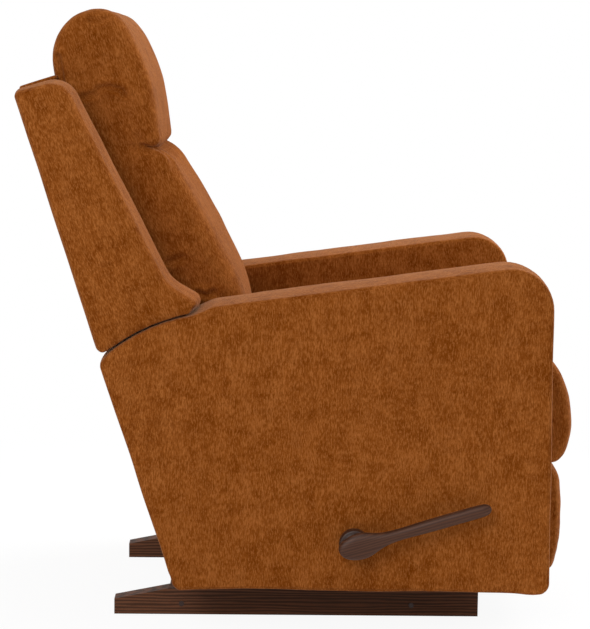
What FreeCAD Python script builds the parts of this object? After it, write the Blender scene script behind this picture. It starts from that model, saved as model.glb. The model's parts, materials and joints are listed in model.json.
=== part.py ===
import FreeCAD, Part
import Sketcher
import math
import os
from FreeCAD import Placement, Rotation, Vector

# Upholstered rocker recliner, in millimetres.
# The chair faces -Y, its handle is on the -X side, Z is up and the rails stand at Z = 0.
# Y = 0 is the middle of the base rails. Everything is drawn symmetric about X = 0 and then
# moved by half the handle's reach, so that the whole outline is centred.

# Driving sizes: name, value

SIZES = {
    # Base
    "rail_side_gap": 20, "rail_width": 35, "rail_length": 638, "rail_height": 46,
    "rail_tail_height": 27, "rail_taper_length": 95, "rail_edge_round": 3,
    "cross_rail_width": 45, "cross_rail_height": 38, "cross_rail_inset": 95,
    "track_width": 30, "track_thickness": 3, "track_length": 420,
    # Rocker
    "cam_radius": 500, "cam_length": 300, "cam_width": 31, "cam_top": 115,
    "cam_side_gap": 0.5, "rolling_gap": 0.3,
    "spring_radius": 13, "spring_wire": 3, "spring_reach": 105, "spring_inset": 30,
    "spring_seat_width": 50, "spring_seat_thickness": 4, "spring_seat_flange": 24,
    # Arms
    "arm_outer_half": 395, "arm_width": 145, "arm_front": 420, "arm_bottom": 84,
    "arm_height": 640, "arm_top_run": 570, "arm_top_fall": 78,
    "arm_rear_bottom": 208, "arm_rear_top": 334, "arm_rear_top_height": 462,
    "arm_front_round": 78, "arm_low_round": 16, "arm_edge_round": 14,
    "arm_wall": 18, "arm_frame_board": 18, "arm_frame_rail": 60,
    # Steel side plates and the planes of the links
    "plate_gap": 7.7, "plate_thickness": 3, "link_gap": 0.3, "link_thickness": 2.7,
    "plate_top": 352, "plate_front": 345, "plate_rear": 170, "plate_flange_front": 35,
    "plate_nose": 70, "plate_edge": 22,
    "link_half_width": 9, "rivet_radius": 4, "rivet_head_radius": 6.5, "rivet_head": 2,
    "fit_clearance": 0.06, "face_gap": 0.3,
    "tie_bar_radius": 9, "tie_front_reach": 300, "tie_front_height": 312,
    "tie_rear_reach": 150, "tie_rear_height": 145,
    # Footrest linkage: pivots as distances forward and up, angles in degrees
    "pivot_reach": 315, "pivot_height": 258, "swing_link": 155, "swing_extra": 35,
    "swing_start_angle": -147.7,
    "parallel_span": 62, "parallel_angle": 192.7,
    "carrier_reach": 363, "carrier_height": 226, "flip_drop": 57.6,
    "drive_arm": 40, "crank_arm": 60, "crank_start_angle": -145.2,
    "drive_knee_reach": 74, "drive_knee_angle": 16.2, "drive_half_width": 7.5,
    # Footrest
    "board_back": 383, "board_thickness": 12, "board_low": 86, "board_high": 268,
    "board_side_gap": 22, "foot_front": 461, "foot_low": 81, "foot_high": 272,
    "bracket_flange": 44, "bracket_drop": 20,
    # Handle
    "rod_reach": 88, "rod_height": 168, "rod_side": 12,
    "bush_radius": 11, "bush_lip": 2.2, "crank_hub_radius": 9,
    "handle_reach": 45, "handle_thickness": 21, "handle_boss_radius": 28,
    "handle_length": 231, "handle_rise": 16.7, "handle_neck": 15, "handle_tip": 11,
    "handle_neck_reach": 92, "handle_edge_round": 6, "hub_radius": 21, "hub_length": 22,
    # Seat
    "seat_side_gap": 4, "seat_rear": 62, "seat_top": 482, "seat_under": 366,
    "seat_front": 480, "seat_front_low": 277, "seat_front_depth": 86,
    "seat_rail_width": 28, "seat_rail_height": 34,
    "web_width": 50, "web_thickness": 2, "web_count": 4,
    "slot_length": 62, "slot_rise_angle": 10, "slot_front_reach": 190, "slot_rear_reach": 25,
    "slot_height": 335, "slide_pin_radius": 4, "hanger_thickness": 2.7, "hanger_drop": 16,
    # Back
    "back_pivot_rear": 107, "back_pivot_height": 204, "back_lean": 18.2, "parting_radius": 351,
    "parting_gap": 3, "panel_back": 132.6, "panel_thickness": 10, "panel_top": 789,
    "panel_low": 80, "wing_side_inset": 10, "wing_front_reach": 164,
    "wing_low_front": 567, "wing_tip_length": 18, "wing_knee_rear": 236, "wing_knee_share": 0.177,
    "wing_peak_rear": 392, "wing_peak_height": 934, "wing_back_rear": 480,
    "wing_back_share": 0.0627, "wing_knee_round": 90, "wing_peak_round": 40, "wing_edge_round": 13,
    "wing_arc_rear": 336, "wing_gap": 1.3, "upright_width": 32, "upright_depth": 36, 
    "frame_low": 318, "frame_high": 784, "frame_rail_height": 50, "frame_mid_rail": 560,
    "back_arm_half_width": 14, "back_arm_heel": 103, "back_arm_rise": 268, "back_arm_top": 460,
    "cushion_side_gap": 7, "lumbar_low": 270, "lumbar_high": 640, "lumbar_front": 126,
    "lumbar_shoulder": 72, "pillow_low": 640.3, "pillow_high": 884,
    "pillow_front": 87, "pillow_back": 76, "cushion_crown": 8,
    "cushion_end_depth": 18, "cushion_round": 22,
    # Rear of the box
    "stretcher_drop": 10, "stretcher_height": 45, "stretcher_depth": 18, "rear_panel_low": -70,
    "rear_panel_high": 55,
    "rear_panel_thickness": 8,
    # Fasteners
    "bolt_radius": 4, "bolt_head_radius": 7.5, "bolt_head": 3, "bolt_high": 300, "bolt_low": 190,
    "screw_radius": 2.5, "screw_head_radius": 4.5, "screw_length": 30,
    "overrun": 5, "under_trim": 2,
    # Shares: where the corners of the soft pieces' outlines lie, and how round they are
    "pad_upper_share": 0.24, "pad_lower_share": 0.4, "pad_top_round_share": 0.8,
    "pad_face_round_share": 2, "pad_foot_draw_share": 0.6, "pad_foot_round_share": 0.7,
    "pad_back_round_share": 0.33,
    "seat_top_share": 0.62, "seat_top_round_share": 0.5, "seat_nose_share": 0.33,
    "seat_nose_round_share": 0.6, "seat_lip_share": 0.25, "seat_foot_share": 0.45,
    "seat_foot_round_share": 0.25, "web_sink_share": 0.85,
    "lumbar_shoulder_round_share": 1.6, "lumbar_belly_share": 0.5, "lumbar_foot_share": 1.4,
    "pillow_rear_drop_share": 0.14, "pillow_rear_round_share": 0.16, "pillow_rear_share": 0.2,
    "pillow_front_share": 0.22, "pillow_front_round_share": 0.2, "pillow_brow_share": 0.3,
    "pillow_chin_share": 0.35, "pillow_face_round_share": 0.26, "pillow_foot_share": 0.7,
    "arc_start_share": 1.45, "corner_draw_share": 0.25,
}

doc = FreeCAD.newDocument("RockerRecliner")
sheet = doc.addObject("Spreadsheet::Sheet", "Sizes")
for row, (size_name, size_value) in enumerate(SIZES.items(), start=1):
    sheet.set(f"A{row}", size_name)
    sheet.set(f"B{row}", str(size_value))
    sheet.setAlias(f"B{row}", size_name)
doc.recompute()


class Length:
    """A size that knows its value and the expression on the sheet that gives it."""

    def __init__(self, value, text):
        self.value = float(value)
        self.text = text

    def __float__(self):
        return self.value

    def __add__(self, other):
        other = length(other)
        return Length(self.value + other.value, f"({self.text} + {other.text})")

    def __sub__(self, other):
        other = length(other)
        return Length(self.value - other.value, f"({self.text} - {other.text})")

    def __mul__(self, share):
        share = length(share)
        return Length(self.value * share.value, f"({self.text} * {share.text})")

    def __truediv__(self, share):
        share = length(share)
        return Length(self.value / share.value, f"({self.text} / {share.text})")

    def __neg__(self):
        return Length(-self.value, f"(-{self.text})")

    __radd__ = __add__
    __rmul__ = __mul__


def length(number):
    """Plain numbers pass as they are, lengths keep their expression."""
    return number if isinstance(number, Length) else Length(number, f"({float(number):.9f})")


class Sheet:
    """Reads a named size, as in s.rail_length."""

    def __getattr__(self, name):
        return Length(SIZES[name], f"Sizes.{name}")


s = Sheet()
NODES = {}
SHIFT = s.handle_reach / 2
SIDES = {"left": 1, "right": -1}


def cos_of(angle):
    angle = length(angle)
    return Length(math.cos(math.radians(angle.value)), f"cos({angle.text} * 1 deg)")


def sin_of(angle):
    angle = length(angle)
    return Length(math.sin(math.radians(angle.value)), f"sin({angle.text} * 1 deg)")


def root_of(area):
    return Length(math.sqrt(area.value), f"sqrt({area.text})")


def bind(obj, **sizes):
    """Binds properties such as Length, Radius or Placement_Base_x to the sheet."""
    for name, size in sizes.items():
        obj.setExpression(name.replace("__", "."), length(size).text)


def node(label, obj):
    """Names an object as one piece of the chair and moves it onto the centre line."""
    obj.Label = label
    NODES[label] = obj
    return obj


def place(obj, x=0, y=0, z=0):
    bind(obj, Placement__Base__x=x, Placement__Base__y=y, Placement__Base__z=z)


def centre(label, obj):
    """A piece whose own coordinates are already right only gets the sideways shift."""
    place(obj, x=SHIFT)
    return node(label, obj)


def box(x, y, z):
    """A box from three (low, high) pairs, still unshifted."""
    made = doc.addObject("Part::Box", "Box")
    bind(made, Length=x[1] - x[0], Width=y[1] - y[0], Height=z[1] - z[0])
    place(made, x[0], y[0], z[0])
    return made


def rod_x(radius, x, y, z):
    """A round bar along X between the two values of x."""
    made = doc.addObject("Part::Cylinder", "Rod")
    made.Placement = Placement(Vector(0, 0, 0), Rotation(Vector(0, 1, 0), 90))
    bind(made, Radius=radius, Height=x[1] - x[0])
    place(made, x[0], y, z)
    return made


def rod_z(radius, x, y, z):
    """A round bar along Z between the two values of z."""
    made = doc.addObject("Part::Cylinder", "Rod")
    bind(made, Radius=radius, Height=z[1] - z[0])
    place(made, x, y, z[0])
    return made


def fuse(*pieces):
    if len(pieces) == 1:
        return pieces[0]
    made = doc.addObject("Part::MultiFuse", "Fuse")
    made.Shapes = list(pieces)
    return made


def cut(base, *tools):
    made = doc.addObject("Part::Cut", "Cut")
    made.Base = base
    made.Tool = fuse(*tools)
    return made


def group(*pieces):
    made = doc.addObject("Part::Compound", "Group")
    made.Links = list(pieces)
    return made


def span(side, inner, outer):
    """The low and high X of a piece that lies between two distances from the middle."""
    return (inner, outer) if side > 0 else (-outer, -inner)


def draw(sketch, outline):
    """A closed outline of (y, z) corners; a corner with (cy, cz, r) more starts an arc."""
    count = len(outline)
    spots = [Vector(float(corner[0]), float(corner[1]), 0) for corner in outline]
    for i, corner in enumerate(outline):
        start, end = spots[i], spots[(i + 1) % count]
        if len(corner) == 2:
            sketch.addGeometry(Part.LineSegment(start, end), False)
            continue
        middle = Vector(float(corner[2]), float(corner[3]), 0)
        angles = [math.atan2(p.y - middle.y, p.x - middle.x) for p in (end, start)]
        whole = Part.Circle(middle, Vector(0, 0, 1), float(corner[4]))
        sketch.addGeometry(Part.ArcOfCircle(whole, *angles), False)
    arcs = [len(corner) > 2 for corner in outline]

    def pin_point(geometry, point, value, kind):
        number = sketch.addConstraint(Sketcher.Constraint(kind, -1, 1, geometry, point, float(value)))
        sketch.setExpression(f"Constraints[{number}]", length(value).text)

    for i, corner in enumerate(outline):
        after = (i + 1) % count
        end_point = 1 if arcs[i] else 2
        start_point = 2 if arcs[after] else 1
        sketch.addConstraint(Sketcher.Constraint("Coincident", i, end_point, after, start_point))
        first_point = 2 if arcs[i] else 1
        pin_point(i, first_point, corner[0], "DistanceX")
        if not arcs[i] and not arcs[i - 1]:
            pin_point(i, first_point, corner[1], "DistanceY")
        if arcs[i]:
            pin_point(i, 3, corner[2], "DistanceX")
            pin_point(i, 3, corner[3], "DistanceY")
            number = sketch.addConstraint(Sketcher.Constraint("Radius", i, float(corner[4])))
            sketch.setExpression(f"Constraints[{number}]", corner[4].text)


def plane_sketch(body, role, offset):
    sketch = body.newObject("Sketcher::SketchObject", "Outline")
    plane = [f for f in body.Origin.OriginFeatures if f.Role == role][0]
    sketch.AttachmentSupport = (plane, "")
    sketch.MapMode = "FlatFace"
    sketch.setExpression(".AttachmentOffset.Base.z", length(offset).text)
    return sketch


def plate(outline, x, holes=()):
    """A flat piece seen from the side: its outline in Y and Z, padded between two values of X."""
    body = doc.addObject("PartDesign::Body", "Plate")
    sketch = plane_sketch(body, "YZ_Plane", x[0])
    draw(sketch, outline)
    for y, z, radius in holes:
        number = sketch.addGeometry(
            Part.Circle(Vector(float(y), float(z), 0), Vector(0, 0, 1), float(radius)), False)
        for kind, value in (("DistanceX", y), ("DistanceY", z)):
            made = sketch.addConstraint(Sketcher.Constraint(kind, -1, 1, number, 3, float(value)))
            sketch.setExpression(f"Constraints[{made}]", length(value).text)
        made = sketch.addConstraint(Sketcher.Constraint("Radius", number, float(radius)))
        sketch.setExpression(f"Constraints[{made}]", length(radius).text)
    pad = body.newObject("PartDesign::Pad", "Pad")
    pad.Profile = sketch
    bind(pad, Length=x[1] - x[0])
    sketch.Visibility = False
    return body


def round_edges(body, radius, wanted):
    """A fillet on the body's edges whose midpoint the test accepts."""
    doc.recompute()
    base = body.Tip
    names = [f"Edge{i}" for i, edge in enumerate(base.Shape.Edges, start=1)
             if wanted(edge.valueAt((edge.FirstParameter + edge.LastParameter) / 2), edge)]
    fillet = body.newObject("PartDesign::Fillet", "Round")
    fillet.Base = (base, names)
    bind(fillet, Radius=radius)
    body.Tip = fillet
    return fillet


def corner_edge(y, z):
    """Accepts the edge along X through one corner of a plate's outline."""
    def wanted(middle, edge):
        reach = math.hypot(middle.y - float(y), middle.z - float(z))
        return reach < NEAR and edge.BoundBox.XLength > NEAR
    return wanted


NEAR = float(s.face_gap)


def solid_node(label, shape):
    """A piece that neither a sketch nor a primitive fits: its shape is worked out below."""
    made = doc.addObject("Part::Feature", "Form")
    made.Shape = shape
    return centre(label, made)


# Places that several pieces share

TRACK_TOP = s.rail_height + s.track_thickness
ARM_INNER = s.arm_outer_half - s.arm_width
CUSHION_HALF = ARM_INNER - s.cushion_side_gap
RAIL_OUTER = ARM_INNER - s.rail_side_gap
RAIL_INNER = RAIL_OUTER - s.rail_width
PLATE_OUTER = ARM_INNER - s.plate_gap
PLATE_INNER = PLATE_OUTER - s.plate_thickness
LINK_STEP = s.link_gap + s.link_thickness
# Three planes for the links, counted inwards from the side plate
OUTER_PLANE = (PLATE_INNER - LINK_STEP, PLATE_INNER - s.link_gap)
MIDDLE_PLANE = (OUTER_PLANE[0] - LINK_STEP, OUTER_PLANE[0] - s.link_gap)
INNER_PLANE = (MIDDLE_PLANE[0] - LINK_STEP, MIDDLE_PLANE[0] - s.link_gap)
CAM_INNER = RAIL_OUTER - s.cam_side_gap - s.cam_width
CAM_OUTER = RAIL_OUTER - s.cam_side_gap
ROD_Y, ROD_Z = -s.rod_reach, s.rod_height
BACK_Y, BACK_Z = s.back_pivot_rear, s.back_pivot_height
HOLE = s.rivet_radius + s.fit_clearance
BOLT_HOLE = s.bolt_radius + s.fit_clearance
SLIDE_PLANE = (PLATE_INNER - s.face_gap - s.hanger_thickness, PLATE_INNER - s.face_gap)


def make_base():
    """Two wooden rails on the floor, the two rails that join them and the rolling tracks."""
    half = s.rail_length / 2
    outline = [(-half, 0), (half, 0), (half, s.rail_tail_height),
               (half - s.rail_taper_length, s.rail_height), (-half, s.rail_height)]
    hole = s.screw_radius + s.fit_clearance
    inner = RAIL_INNER - s.face_gap
    screw_y = half - s.cross_rail_inset - s.cross_rail_width / 2
    screw_z = s.cross_rail_height / 2
    tracks, screws, bars = [], [], []
    for word, side in SIDES.items():
        rail = plate(outline, span(side, RAIL_INNER, RAIL_OUTER),
                     [(screw_y * end, screw_z, hole) for end in (-1, 1)])
        round_edges(rail, s.rail_edge_round, corner_edge(-half, s.rail_height))
        centre(f"base_rail_{word}", rail)
        track_inner = RAIL_OUTER - s.rail_width / 2 - s.track_width / 2
        tracks.append(box(span(side, track_inner, track_inner + s.track_width),
                          (-s.track_length / 2, s.track_length / 2), (s.rail_height, TRACK_TOP)))
        outer = RAIL_OUTER + s.fit_clearance
        for end in (-1, 1):
            screws.append(fuse(
                rod_x(s.screw_radius, span(side, inner - s.screw_length, outer), screw_y * end, screw_z),
                rod_x(s.screw_head_radius, span(side, outer, outer + s.screw_radius / 2),
                      screw_y * end, screw_z)))
    for end in (-1, 1):
        y = screw_y * end
        bar = box((-inner, inner), (y - s.cross_rail_width / 2, y + s.cross_rail_width / 2),
                  (length(0), s.cross_rail_height))
        drills = [rod_x(hole, span(side, inner - s.screw_length - s.fit_clearance, inner + s.overrun),
                        y, screw_z) for side in SIDES.values()]
        bars.append(cut(bar, *drills))
    centre("rolling_tracks", group(*tracks))
    centre("base_cross_rails", group(*bars))
    centre("base_screws", group(*screws))


def make_rocker():
    """Wooden cams that roll on the tracks, with their springs and spring seats."""
    half = s.cam_length / 2
    rest = TRACK_TOP + s.rolling_gap
    cam_end = rest + s.cam_radius - root_of(s.cam_radius * s.cam_radius - half * half)
    outline = [(half, s.cam_top), (half, cam_end, length(0), rest + s.cam_radius, s.cam_radius),
               (-half, cam_end), (-half, s.cam_top)]
    low_seats, high_seats, springs = [], [], []
    seat_high = s.cam_top - s.spring_seat_flange / 2
    for word, side in SIDES.items():
        centre(f"rocker_cam_{word}", plate(outline, span(side, CAM_INNER, CAM_OUTER)))
        for end in (-1, 1):
            y = s.spring_reach * end
            along = (y - s.spring_seat_width / 2, y + s.spring_seat_width / 2)
            reach = RAIL_INNER - s.face_gap
            spring_x = (RAIL_INNER - s.spring_inset) * side
            thick = s.spring_seat_thickness
            low_top = s.rail_height - s.spring_seat_thickness
            low_seats.append(fuse(
                box(span(side, RAIL_INNER - s.spring_seat_width, reach), along,
                    (low_top - thick, low_top)),
                box(span(side, reach - thick, reach), along,
                    (low_top - s.spring_seat_flange, low_top))))
            cam_face = CAM_INNER - s.face_gap
            high_seats.append(fuse(
                box(span(side, RAIL_INNER - s.spring_seat_width, cam_face), along,
                    (seat_high, seat_high + thick)),
                box(span(side, cam_face - thick, cam_face), along,
                    (seat_high, s.cam_top))))
            ends = (low_top + s.face_gap, seat_high - s.face_gap)
            springs.append(cut(rod_z(s.spring_radius, spring_x, y, ends),
                               rod_z(s.spring_radius - s.spring_wire, spring_x, y,
                                     (ends[0] - s.overrun, ends[1] + s.overrun))))
    centre("spring_seats_lower", group(*low_seats))
    centre("spring_seats_upper", group(*high_seats))
    centre("rocker_springs", group(*springs))


def slot_ends():
    """The middles of the two slots' ends, front and rear of each slot, in the side plates."""
    step_y = -s.slot_length * cos_of(s.slot_rise_angle)
    step_z = s.slot_length * sin_of(s.slot_rise_angle)
    ends = []
    for reach in (s.slot_front_reach, s.slot_rear_reach):
        ends.append(((-reach, s.slot_height), (-reach + step_y, s.slot_height + step_z)))
    return ends


def slot_cutter(x, start, end, radius):
    """A slot with round ends between two middles, seen from the side."""
    angle = -s.slot_rise_angle
    bar = doc.addObject("Part::Box", "Slot")
    bar.Placement = Placement(Vector(0, 0, 0), Rotation(Vector(1, 0, 0), float(angle)))
    bind(bar, Length=x[1] - x[0], Width=s.slot_length, Height=radius * 2,
         Placement__Rotation__Angle=angle)
    drop_y, drop_z = radius * sin_of(s.slot_rise_angle), radius * cos_of(s.slot_rise_angle)
    place(bar, x[0], end[0] - drop_y, end[1] - drop_z)
    return fuse(bar, rod_x(radius, x, *start), rod_x(radius, x, *end))


def bolt_places():
    """Where the arm bolts go, as Y and Z: two high and two low on each side plate."""
    return [(-s.tie_front_reach + s.plate_edge, s.bolt_high), (s.tie_rear_reach, s.bolt_high),
            (-s.plate_flange_front - s.plate_edge, s.bolt_low),
            (s.tie_rear_reach - s.plate_edge / 2, s.bolt_low - s.plate_edge / 2)]


def make_side_plates():
    """Steel plates that carry the cams, arms, seat slides, footrest links and back."""
    rear, top = s.plate_rear, s.plate_top
    low = s.cam_top + s.face_gap
    outline = [(rear, low), (rear, s.back_pivot_height + s.plate_nose),
               (rear - s.plate_nose / 2, top), (-s.plate_front, top),
               (-s.plate_front, s.pivot_height - s.plate_edge),
               (-s.plate_front + s.plate_nose, s.pivot_height - s.plate_edge * 2),
               (-s.rod_reach + s.plate_edge, low + s.plate_edge),
               (-s.plate_flange_front, low)]
    holes = [(-s.pivot_reach, s.pivot_height, HOLE), (*second_pivot(), HOLE),
             (ROD_Y, ROD_Z, s.bush_radius + s.fit_clearance), (BACK_Y, BACK_Z, HOLE)]
    holes += [(y, z, BOLT_HOLE) for y, z in bolt_places()]
    for word, side in SIDES.items():
        across = span(side, PLATE_INNER, PLATE_OUTER)
        wide = span(side, PLATE_INNER - s.overrun, PLATE_OUTER + s.overrun)
        web = plate(outline, across, holes)
        flange = box(span(side, CAM_INNER, PLATE_OUTER), (-s.plate_flange_front, rear),
                     (low, low + s.plate_thickness))
        radius = s.slide_pin_radius + s.fit_clearance
        slots = [slot_cutter(wide, start, end, radius) for start, end in slot_ends()]
        centre(f"side_plate_{word}", cut(fuse(web, flange), *slots))
    reach = PLATE_INNER - s.face_gap
    ties = ((-s.tie_front_reach, s.tie_front_height), (s.tie_rear_reach, s.tie_rear_height))
    centre("tie_bars", group(*[rod_x(s.tie_bar_radius, (-reach, reach), y, z) for y, z in ties]))


def arm_top(y):
    """Height of the arm's straight top line above a place along the chair."""
    return s.arm_height - (y + s.arm_front) * (s.arm_top_fall / s.arm_top_run)


def arm_outline(inset=None):
    """The arm from the side, or the same outline drawn in by a wall."""
    inset = inset if inset is not None else length(0)
    front = -s.arm_front + inset
    line_end = -s.arm_front + s.arm_top_run
    radius = s.parting_radius - inset
    arc_start = line_end + s.arm_wall * s.arc_start_share
    rise = root_of(radius * radius - (arc_start - BACK_Y) * (arc_start - BACK_Y))
    arc_end = s.arm_rear_top - s.overrun - inset
    fall = root_of(radius * radius - (arc_end - BACK_Y) * (arc_end - BACK_Y))
    return [(front, s.arm_bottom), (front, arm_top(front) - inset),
            (line_end - inset * s.corner_draw_share, arm_top(line_end) - inset),
            (arc_start, BACK_Z + rise, BACK_Y, BACK_Z, radius),
            (arc_end, BACK_Z + fall), (s.arm_rear_top - inset, s.arm_rear_top_height),
            (s.arm_rear_bottom - inset, s.arm_bottom)]


def ahead(start, reach, angle):
    """A point some reach from another, at an angle up from straight ahead of the chair."""
    return start[0] - reach * cos_of(angle), start[1] + reach * sin_of(angle)


def second_pivot():
    return ahead((-s.pivot_reach, s.pivot_height), s.parallel_span, s.parallel_angle)


def link_points():
    """Every pivot of the folded footrest linkage, as (y, z)."""
    main = (-s.pivot_reach, s.pivot_height)
    elbow = ahead(main, s.swing_link, s.swing_start_angle)
    carrier = (-s.carrier_reach, s.carrier_height)
    crank = ahead((ROD_Y, ROD_Z), s.crank_arm, s.crank_start_angle)
    return {
        "main": main, "second": second_pivot(), "elbow": elbow,
        "tail": ahead(main, s.swing_link + s.swing_extra, s.swing_start_angle),
        "heel": ahead(elbow, s.parallel_span, s.parallel_angle),
        "carrier": carrier, "flip": (carrier[0], carrier[1] - s.flip_drop),
        "drive": ahead(main, s.drive_arm, s.swing_start_angle),
        "crank": crank, "knee": ahead(crank, s.drive_knee_reach, s.drive_knee_angle),
    }


def arm_holes(radius, x):
    return [rod_x(radius, x, y, z) for y, z in bolt_places()]


def make_arms():
    """Padded arms over board frames, bolted to the side plates."""
    wall = s.arm_wall
    bolts = []
    for word, side in SIDES.items():
        across = span(side, ARM_INNER, s.arm_outer_half)
        pad = plate(arm_outline(), across)
        round_edges(pad, s.arm_front_round, corner_edge(-s.arm_front, arm_top(-s.arm_front)))
        round_edges(pad, s.arm_low_round, corner_edge(-s.arm_front, s.arm_bottom))
        round_edges(pad, s.arm_edge_round, along_side(across))
        hollow = plate(open_below(arm_outline(wall)), span(side, ARM_INNER + wall,
                                                           s.arm_outer_half - wall))
        round_nose(hollow, wall)
        tools = [hollow] + arm_holes(BOLT_HOLE, span(side, ARM_INNER - s.overrun,
                                                     ARM_INNER + wall + s.overrun))
        if side < 0:
            tools.append(rod_x(s.bush_radius, (-s.arm_outer_half - s.overrun,
                                               -ARM_INNER + s.overrun), ROD_Y, ROD_Z))
        centre(f"arm_{word}", cut(pad, *tools))
        inner = ARM_INNER + wall + s.face_gap
        boards = []
        for start in (inner, s.arm_outer_half - wall - s.face_gap - s.arm_frame_board):
            wide = span(side, start - s.overrun, start + s.arm_frame_board + s.overrun)
            board = plate(arm_outline(wall + s.face_gap), span(side, start, start + s.arm_frame_board))
            round_nose(board, wall + s.face_gap)
            window = frame_window(wide)
            cuts = [window] + arm_holes(BOLT_HOLE, wide)
            if side < 0:
                cuts.append(rod_x(s.bush_radius, wide, ROD_Y, ROD_Z))
            boards.append(cut(board, *cuts))
        ties = [box(span(side, inner + s.arm_frame_board, s.arm_outer_half - wall - s.face_gap
                         - s.arm_frame_board),
                    (y, y + s.arm_frame_board * 2), (s.arm_bottom, s.arm_bottom + s.arm_frame_rail))
                for y in (-s.arm_front + s.arm_frame_rail, s.arm_rear_bottom - s.arm_frame_rail * 2)]
        centre(f"arm_frame_{word}", fuse(*boards, *ties))
        bolts += [arm_bolt(side, y, z, inner) for y, z in bolt_places()]
    centre("arm_bolts", group(*bolts))


def round_nose(body, inset):
    """Rounds the front top corner of an outline that was drawn in from the arm's own."""
    y = -s.arm_front + inset
    round_edges(body, s.arm_front_round - inset, corner_edge(y, arm_top(y) - inset))


def open_below(outline):
    """The same outline with its bottom carried down past the arm's own."""
    low = s.arm_bottom - s.overrun
    return [(y_z[0], low, *y_z[2:]) if float(y_z[1]) == float(s.arm_bottom) else y_z
            for y_z in outline]


def frame_window(x):
    """The opening in an arm frame's board, inside its rails."""
    rail = s.arm_frame_rail
    front, rear = -s.arm_front + s.arm_wall + rail, s.arm_rear_bottom - rail
    low = s.bolt_high + rail / 2
    return plate([(front, low), (front, arm_top(front) - s.arm_wall - rail),
                  (rear, arm_top(rear) - s.arm_wall - rail), (rear, low)], x)


def along_side(across):
    """Accepts the edges that lie flat on either side of a padded piece."""
    sides = [float(x) for x in across]

    def wanted(middle, edge):
        return edge.BoundBox.XLength < NEAR and min(abs(middle.x - x) for x in sides) < NEAR
    return wanted


def arm_bolt(side, y, z, board):
    """A bolt through the plate, the arm's padding and the frame, with a spacer in the gap."""
    head = span(side, PLATE_INNER - s.face_gap - s.bolt_head, PLATE_INNER - s.face_gap)
    shank = span(side, PLATE_INNER - s.face_gap, board + s.arm_frame_board + s.bolt_head)
    spacer = span(side, PLATE_OUTER + s.face_gap, ARM_INNER - s.face_gap)
    return fuse(rod_x(s.bolt_head_radius - s.fit_clearance, head, y, z),
                rod_x(s.bolt_radius, shank, y, z), rod_x(s.bolt_head_radius, spacer, y, z))


# Footrest linkage

def stadium(start, end, radius):
    """A flat bar with round ends between two (y, z) points, as a face at X = 0."""
    y0, z0, y1, z1 = (float(v) for v in (*start, *end))
    reach = math.hypot(y1 - y0, z1 - z0)
    along = Vector(0, (y1 - y0) / reach, (z1 - z0) / reach)
    aside = Vector(0, -along.z, along.y) * float(radius)
    a, b = Vector(0, y0, z0), Vector(0, y1, z1)
    tip, heel = b + along * float(radius), a - along * float(radius)
    edges = [Part.LineSegment(a + aside, b + aside).toShape(),
             Part.Arc(b + aside, tip, b - aside).toShape(),
             Part.LineSegment(b - aside, a - aside).toShape(),
             Part.Arc(a - aside, heel, a + aside).toShape()]
    return Part.Face(Part.Wire(edges))


def bar_shape(points, x, radius, holes):
    """A link: bars with round ends from point to point, pierced at its pivots."""
    thick = float(x[1] - x[0])
    solid = None
    for start, end in zip(points, points[1:]):
        bar = stadium(start, end, radius).extrude(Vector(thick, 0, 0))
        solid = bar if solid is None else solid.fuse(bar)
    for y, z in holes:
        solid = solid.cut(Part.makeCylinder(float(HOLE), thick + float(s.overrun) * 2,
                                            Vector(-float(s.overrun), float(y), float(z)),
                                            Vector(1, 0, 0)))
    solid.translate(Vector(float(x[0]), 0, 0))
    return solid.removeSplitter()


def disc(side, radius, low, high, point):
    """A round solid along X between two distances from the middle, as a plain shape."""
    x = span(side, low, high)
    return Part.makeCylinder(float(radius), float(x[1] - x[0]),
                             Vector(float(x[0]), float(point[0]), float(point[1])), Vector(1, 0, 0))


def rivet_shape(side, point, inner, outer, headed=True):
    """A rivet along X, with its head on the side towards the middle of the chair."""
    if not headed:
        return disc(side, s.rivet_radius, inner, outer, point)
    low = inner - s.link_gap / 2
    shank = disc(side, s.rivet_radius, low, outer, point)
    return shank.fuse(disc(side, s.rivet_head_radius, low - s.rivet_head, low, point))


def rivet(side, point, inner, outer):
    """The same rivet as an object bound to the sheet."""
    low = inner - s.link_gap / 2
    return fuse(rod_x(s.rivet_radius, span(side, low, outer), *point),
                rod_x(s.rivet_head_radius, span(side, low - s.rivet_head, low), *point))


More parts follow.
